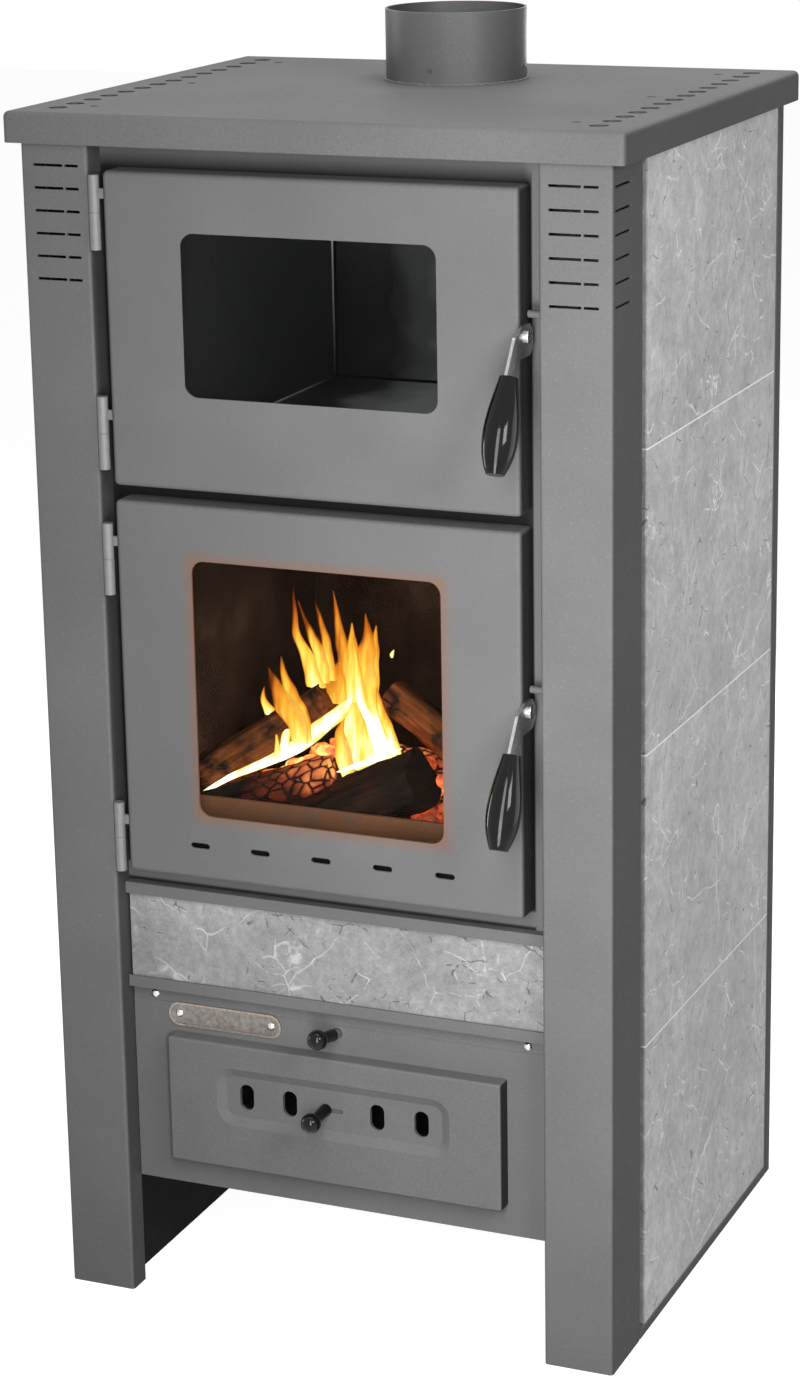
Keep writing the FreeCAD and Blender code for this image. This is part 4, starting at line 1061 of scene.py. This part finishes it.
# Depth behind the front, how spent at the root and the tip, and stops (x, z, width), in millimetres
TONGUES = (
    (
        104, TALL, (-13, 465, 27), (-15, 494, 29), (-12, 524, 22), (-19, 552, 17),
        (-27, 581, 10), (-32, 618, 1),
    ),
    (105, TALL, (7, 476, 34), (2, 505, 33), (-4, 534, 22), (-5, 560, 18), (-2, 582, 10), (-4, 601, 1)),
    (109, (0.15, 0.75), (-4, 520, 18), (0, 560, 12), (4, 590, 1)),
    (100, (0.10, 0.75), (-13, 525, 15), (-14, 567, 11), (-14, 593, 1)),
    (94, (-0.35, 0.25), (16, 482, 20), (6, 508, 13), (-5, 530, 10), (-7, 556, 6), (-10, 574, 1)),
    (98, (0.0, 0.7), (24, 484, 12), (20, 500, 10), (12, 520, 8), (8, 540, 1)),
    (120, BEHIND, (-58, 528, 18), (-65, 554, 12), (-74, 573, 8), (-75, 592, 5), (-77, 618, 1)),
    (122, BEHIND, (-52, 532, 14), (-55, 557, 12), (-63, 576, 8), (-73, 601, 1)),
    (124, BEHIND, (-45, 534, 12), (-48, 564, 8), (-54, 587, 5), (-59, 602, 1)),
    (128, (0.42, 0.55), (-42, 514, 30), (-42, 532, 26), (-38, 549, 8)),
    (86, LEFT, (-57, 488, 14), (-60, 504, 20), (-69, 520, 26), (-78, 535, 15), (-85, 552, 1)),
    (88, LEFT, (-53, 490, 10), (-57, 512, 16), (-65, 530, 14), (-72, 547, 7), (-74, 562, 1)),
    (118, LEFT, (-97, 500, 16), (-106, 512, 6), (-105, 524, 1)),
    (94, (0.0, 0.45), (-76, 480, 11), (-72, 496, 7), (-62, 508, 1)),
    (94, (0.0, 0.4), (-83, 470, 9), (-83, 484, 4), (-84, 496, 1)),
    (97, (0.05, 0.6), (-18, 455, 13), (-23, 478, 15), (-26, 497, 8), (-21, 513, 1)),
    (86, (0.05, 0.5), (-50, 446, 10), (-42, 456, 9), (-45, 466, 1)),
    (104, (0.1, 0.3), (20, 565, 2), (20, 568, 4), (22, 572, 1)),
)
HOT_BEDS = (
    (
        96, (-0.25, 0.0), (-162, 426, 3), (-132, 445, 10), (-105, 459, 17), (-80, 472, 20),
        (-62, 484, 22), (-41, 503, 20), (-23, 518, 15), (-13, 531, 2),
    ),
    (92, (-0.2, 0.0), (-26, 464, 4), (-10, 471, 11), (6, 478, 15), (20, 484, 13), (32, 491, 2)),
)
TONGUE_ROWS = 9
TONGUE_SIDES = 16
TONGUE_THICKNESS = 0.42
BED_THICKNESS = 0.3
THINNEST = 0.25  # half the width of a tip, in millimetres
FLUTTER = 0.18
SWAY = 0.10
EDGE_SPENT = 0.34


def spline_value(t, p, q, r, s):
    """Value between q and r on the smooth curve through four values."""
    square = 2 * p - 5 * q + 4 * r - s
    cube = 3 * q - p - 3 * r + s
    return 0.5 * (2 * q + (r - p) * t + square * t * t + cube * t ** 3)


def curve_through(stops, rows):
    """Smooth run of equally many rows between each pair of stops."""
    last = len(stops) - 1
    run = []
    for index in range(last):
        around = [stops[min(last, max(0, index + step))] for step in (-1, 0, 1, 2)]
        for row in range(rows):
            run.append(tuple(spline_value(row / rows, *values) for values in zip(*around)))
    return run + [stops[last]]


def tongue(build, depth, spent, stops, thickness):
    """Closed flame along its stops, as thick as a share of its width and more spent at its edges."""
    run = curve_through(stops, TONGUE_ROWS)
    seed = stops[0][0] * 0.37 + depth
    rings = []
    worn = []
    for row, (x, z, width) in enumerate(run):
        t = row / (len(run) - 1)
        flutter = noise.noise(Vector((seed, z * 0.09, 0.4)))
        half = max(THINNEST, width / 2 * (1 + FLUTTER * flutter))
        x += SWAY * width * noise.noise(Vector((seed + 9.0, z * 0.06, 1.2)))
        ring = []
        for i in range(TONGUE_SIDES):
            angle = 2 * math.pi * i / TONGUE_SIDES
            side = math.cos(angle)
            point = (x + half * side, depth + half * thickness * math.sin(angle), z)
            ring.append(behind_front(*(c * MM for c in point)))
            worn.append(spent[0] + (spent[1] - spent[0]) * t + EDGE_SPENT * abs(side) ** 2.5)
        rings.append(ring)
    build.rings(rings, spent=worn)


def flames():
    """The tall flame, the tongues behind and left of it, and the white-hot beds they rise from."""
    build = Build()
    for rows, thickness in ((TONGUES, TONGUE_THICKNESS), (HOT_BEDS, BED_THICKNESS)):
        for depth, spent, *stops in rows:
            tongue(build, depth, spent, stops, thickness)
    build.piece("flames", flame(), "firebrick")


tile_joints()
rope_material = rope()
for door in ("oven", "fire"):
    rope_seal(door, rope_material)
hinge_welds()
oven_welds()
collar_welds()
fire_logs()
embers()
flames()


# Floor, light and camera

FLOOR_HALF = 9.0
FLOOR_WHITE = 0.93
FLOOR_SHADOW = 0.34
FLOOR_BOUNCE = 0.25
AMBIENT = 0.12

# Name, place, target, width and height, and power in watts
LAMPS = (
    ("key", (0.30, -0.95, 0.85), (0.30, 0.0, 0.85), (0.25, 1.0), 7.6),
    ("low", (0.30, -0.95, 0.45), (0.30, 0.0, 0.45), (0.25, 0.5), 3.9),
    ("corner", (1.5, -1.2, 1.5), (0.1, 0.0, 0.6), (0.6, 0.6), 16.0),
    ("side", (1.9, 0.6, 0.7), (0.2, 0.1, 0.5), (1.2, 1.4), 9.3),
    ("left", (-2.0, 0.2, 0.5), (0.0, 0.1, 0.5), (0.8, 0.8), 15.0),
    ("rear", (-0.2, 2.0, 0.5), (0.0, 0.1, 0.5), (0.8, 0.8), 15.0),
    ("top", (0.1, 0.2, 2.4), (0.1, 0.2, 1.0), (1.4, 1.4), 21.0),
)

# Camera, solved from the photo's straight edges: place (x, depth, z) and angles in degrees
EYE = (1.090283, -2.369242, 1.324475)
YAW = 23.036
PITCH = -15.802
ROLL = -0.941
LENS = 88.14
LENS_SHIFT = (-0.00938, -0.01998)


def sees_backdrop(tree):
    """1 for a ray that comes from the camera, off a gloss or through glass."""
    rays = tree.nodes.new("ShaderNodeLightPath").outputs
    seen = rays["Is Camera Ray"]
    for kind in ("Is Glossy Ray", "Is Transmission Ray"):
        most = tree.nodes.new("ShaderNodeMath")
        most.operation = "MAXIMUM"
        tree.links.new(seen, most.inputs[0])
        tree.links.new(rays[kind], most.inputs[1])
        seen = most.outputs[0]
    return seen


def floor():
    """Floor that reads as white and keeps the shadow."""
    corners = [(x * FLOOR_HALF, y * FLOOR_HALF, 0) for x, y in ((-1, -1), (1, -1), (1, 1), (-1, 1))]
    mesh = bpy.data.meshes.new("floor")
    mesh.from_pydata(corners, [], [(0, 1, 2, 3)])
    ground = bpy.data.objects.new("floor", mesh)
    bpy.context.scene.collection.objects.link(ground)
    shader = Shader("floor", 0.5, 1.0, specular=0.0)
    white = shader.add("ShaderNodeEmission", {"Color": 1.0, "Strength": FLOOR_WHITE})
    matt = shader.add("ShaderNodeBsdfDiffuse", {"Color": FLOOR_SHADOW})
    both = shader.add("ShaderNodeAddShader", {0: white.outputs[0], 1: matt.outputs[0]})
    plain = shader.add("ShaderNodeBsdfDiffuse", {"Color": FLOOR_BOUNCE})
    shader.show(sees_backdrop(shader.tree), plain, both)
    mesh.materials.append(shader.material)


def studio():
    """World that reads as white and lights the stove at a low level."""
    world = bpy.data.worlds.new("studio")
    world.use_nodes = True
    bpy.context.scene.world = world
    tree = world.node_tree
    level = tree.nodes.new("ShaderNodeMix")
    level.inputs[2].default_value = AMBIENT
    level.inputs[3].default_value = 1.0
    tree.links.new(sees_backdrop(tree), level.inputs[0])
    background = tree.nodes["Background"]
    background.inputs["Color"].default_value = (1, 1, 1, 1)
    tree.links.new(level.outputs[0], background.inputs["Strength"])


def lamp(name, place, target, size, power):
    """Rectangular soft lamp aimed at a point."""
    data = bpy.data.lights.new(name, "AREA")
    data.shape = "RECTANGLE"
    data.size, data.size_y = size
    data.energy = power
    piece = bpy.data.objects.new(name, data)
    piece.location = place
    aim = Vector(target) - Vector(place)
    piece.rotation_euler = aim.to_track_quat("-Z", "Y").to_euler()
    piece.visible_camera = False
    bpy.context.scene.collection.objects.link(piece)


def camera():
    """Standing to the right of the stove, looking down at its front."""
    pose = Matrix.Translation(behind_front(*EYE))
    for angle, axis in ((YAW, "Z"), (90 + PITCH, "X"), (ROLL, "Z")):
        pose = pose @ Matrix.Rotation(math.radians(angle), 4, axis)
    data = bpy.data.cameras.new("camera")
    data.lens = LENS
    data.shift_x, data.shift_y = LENS_SHIFT
    eye = bpy.data.objects.new("camera", data)
    eye.matrix_world = pose
    bpy.context.scene.collection.objects.link(eye)
    bpy.context.scene.camera = eye


floor()
studio()
for row in LAMPS:
    lamp(*row)
camera()
bpy.context.scene.view_settings.view_transform = "Standard"
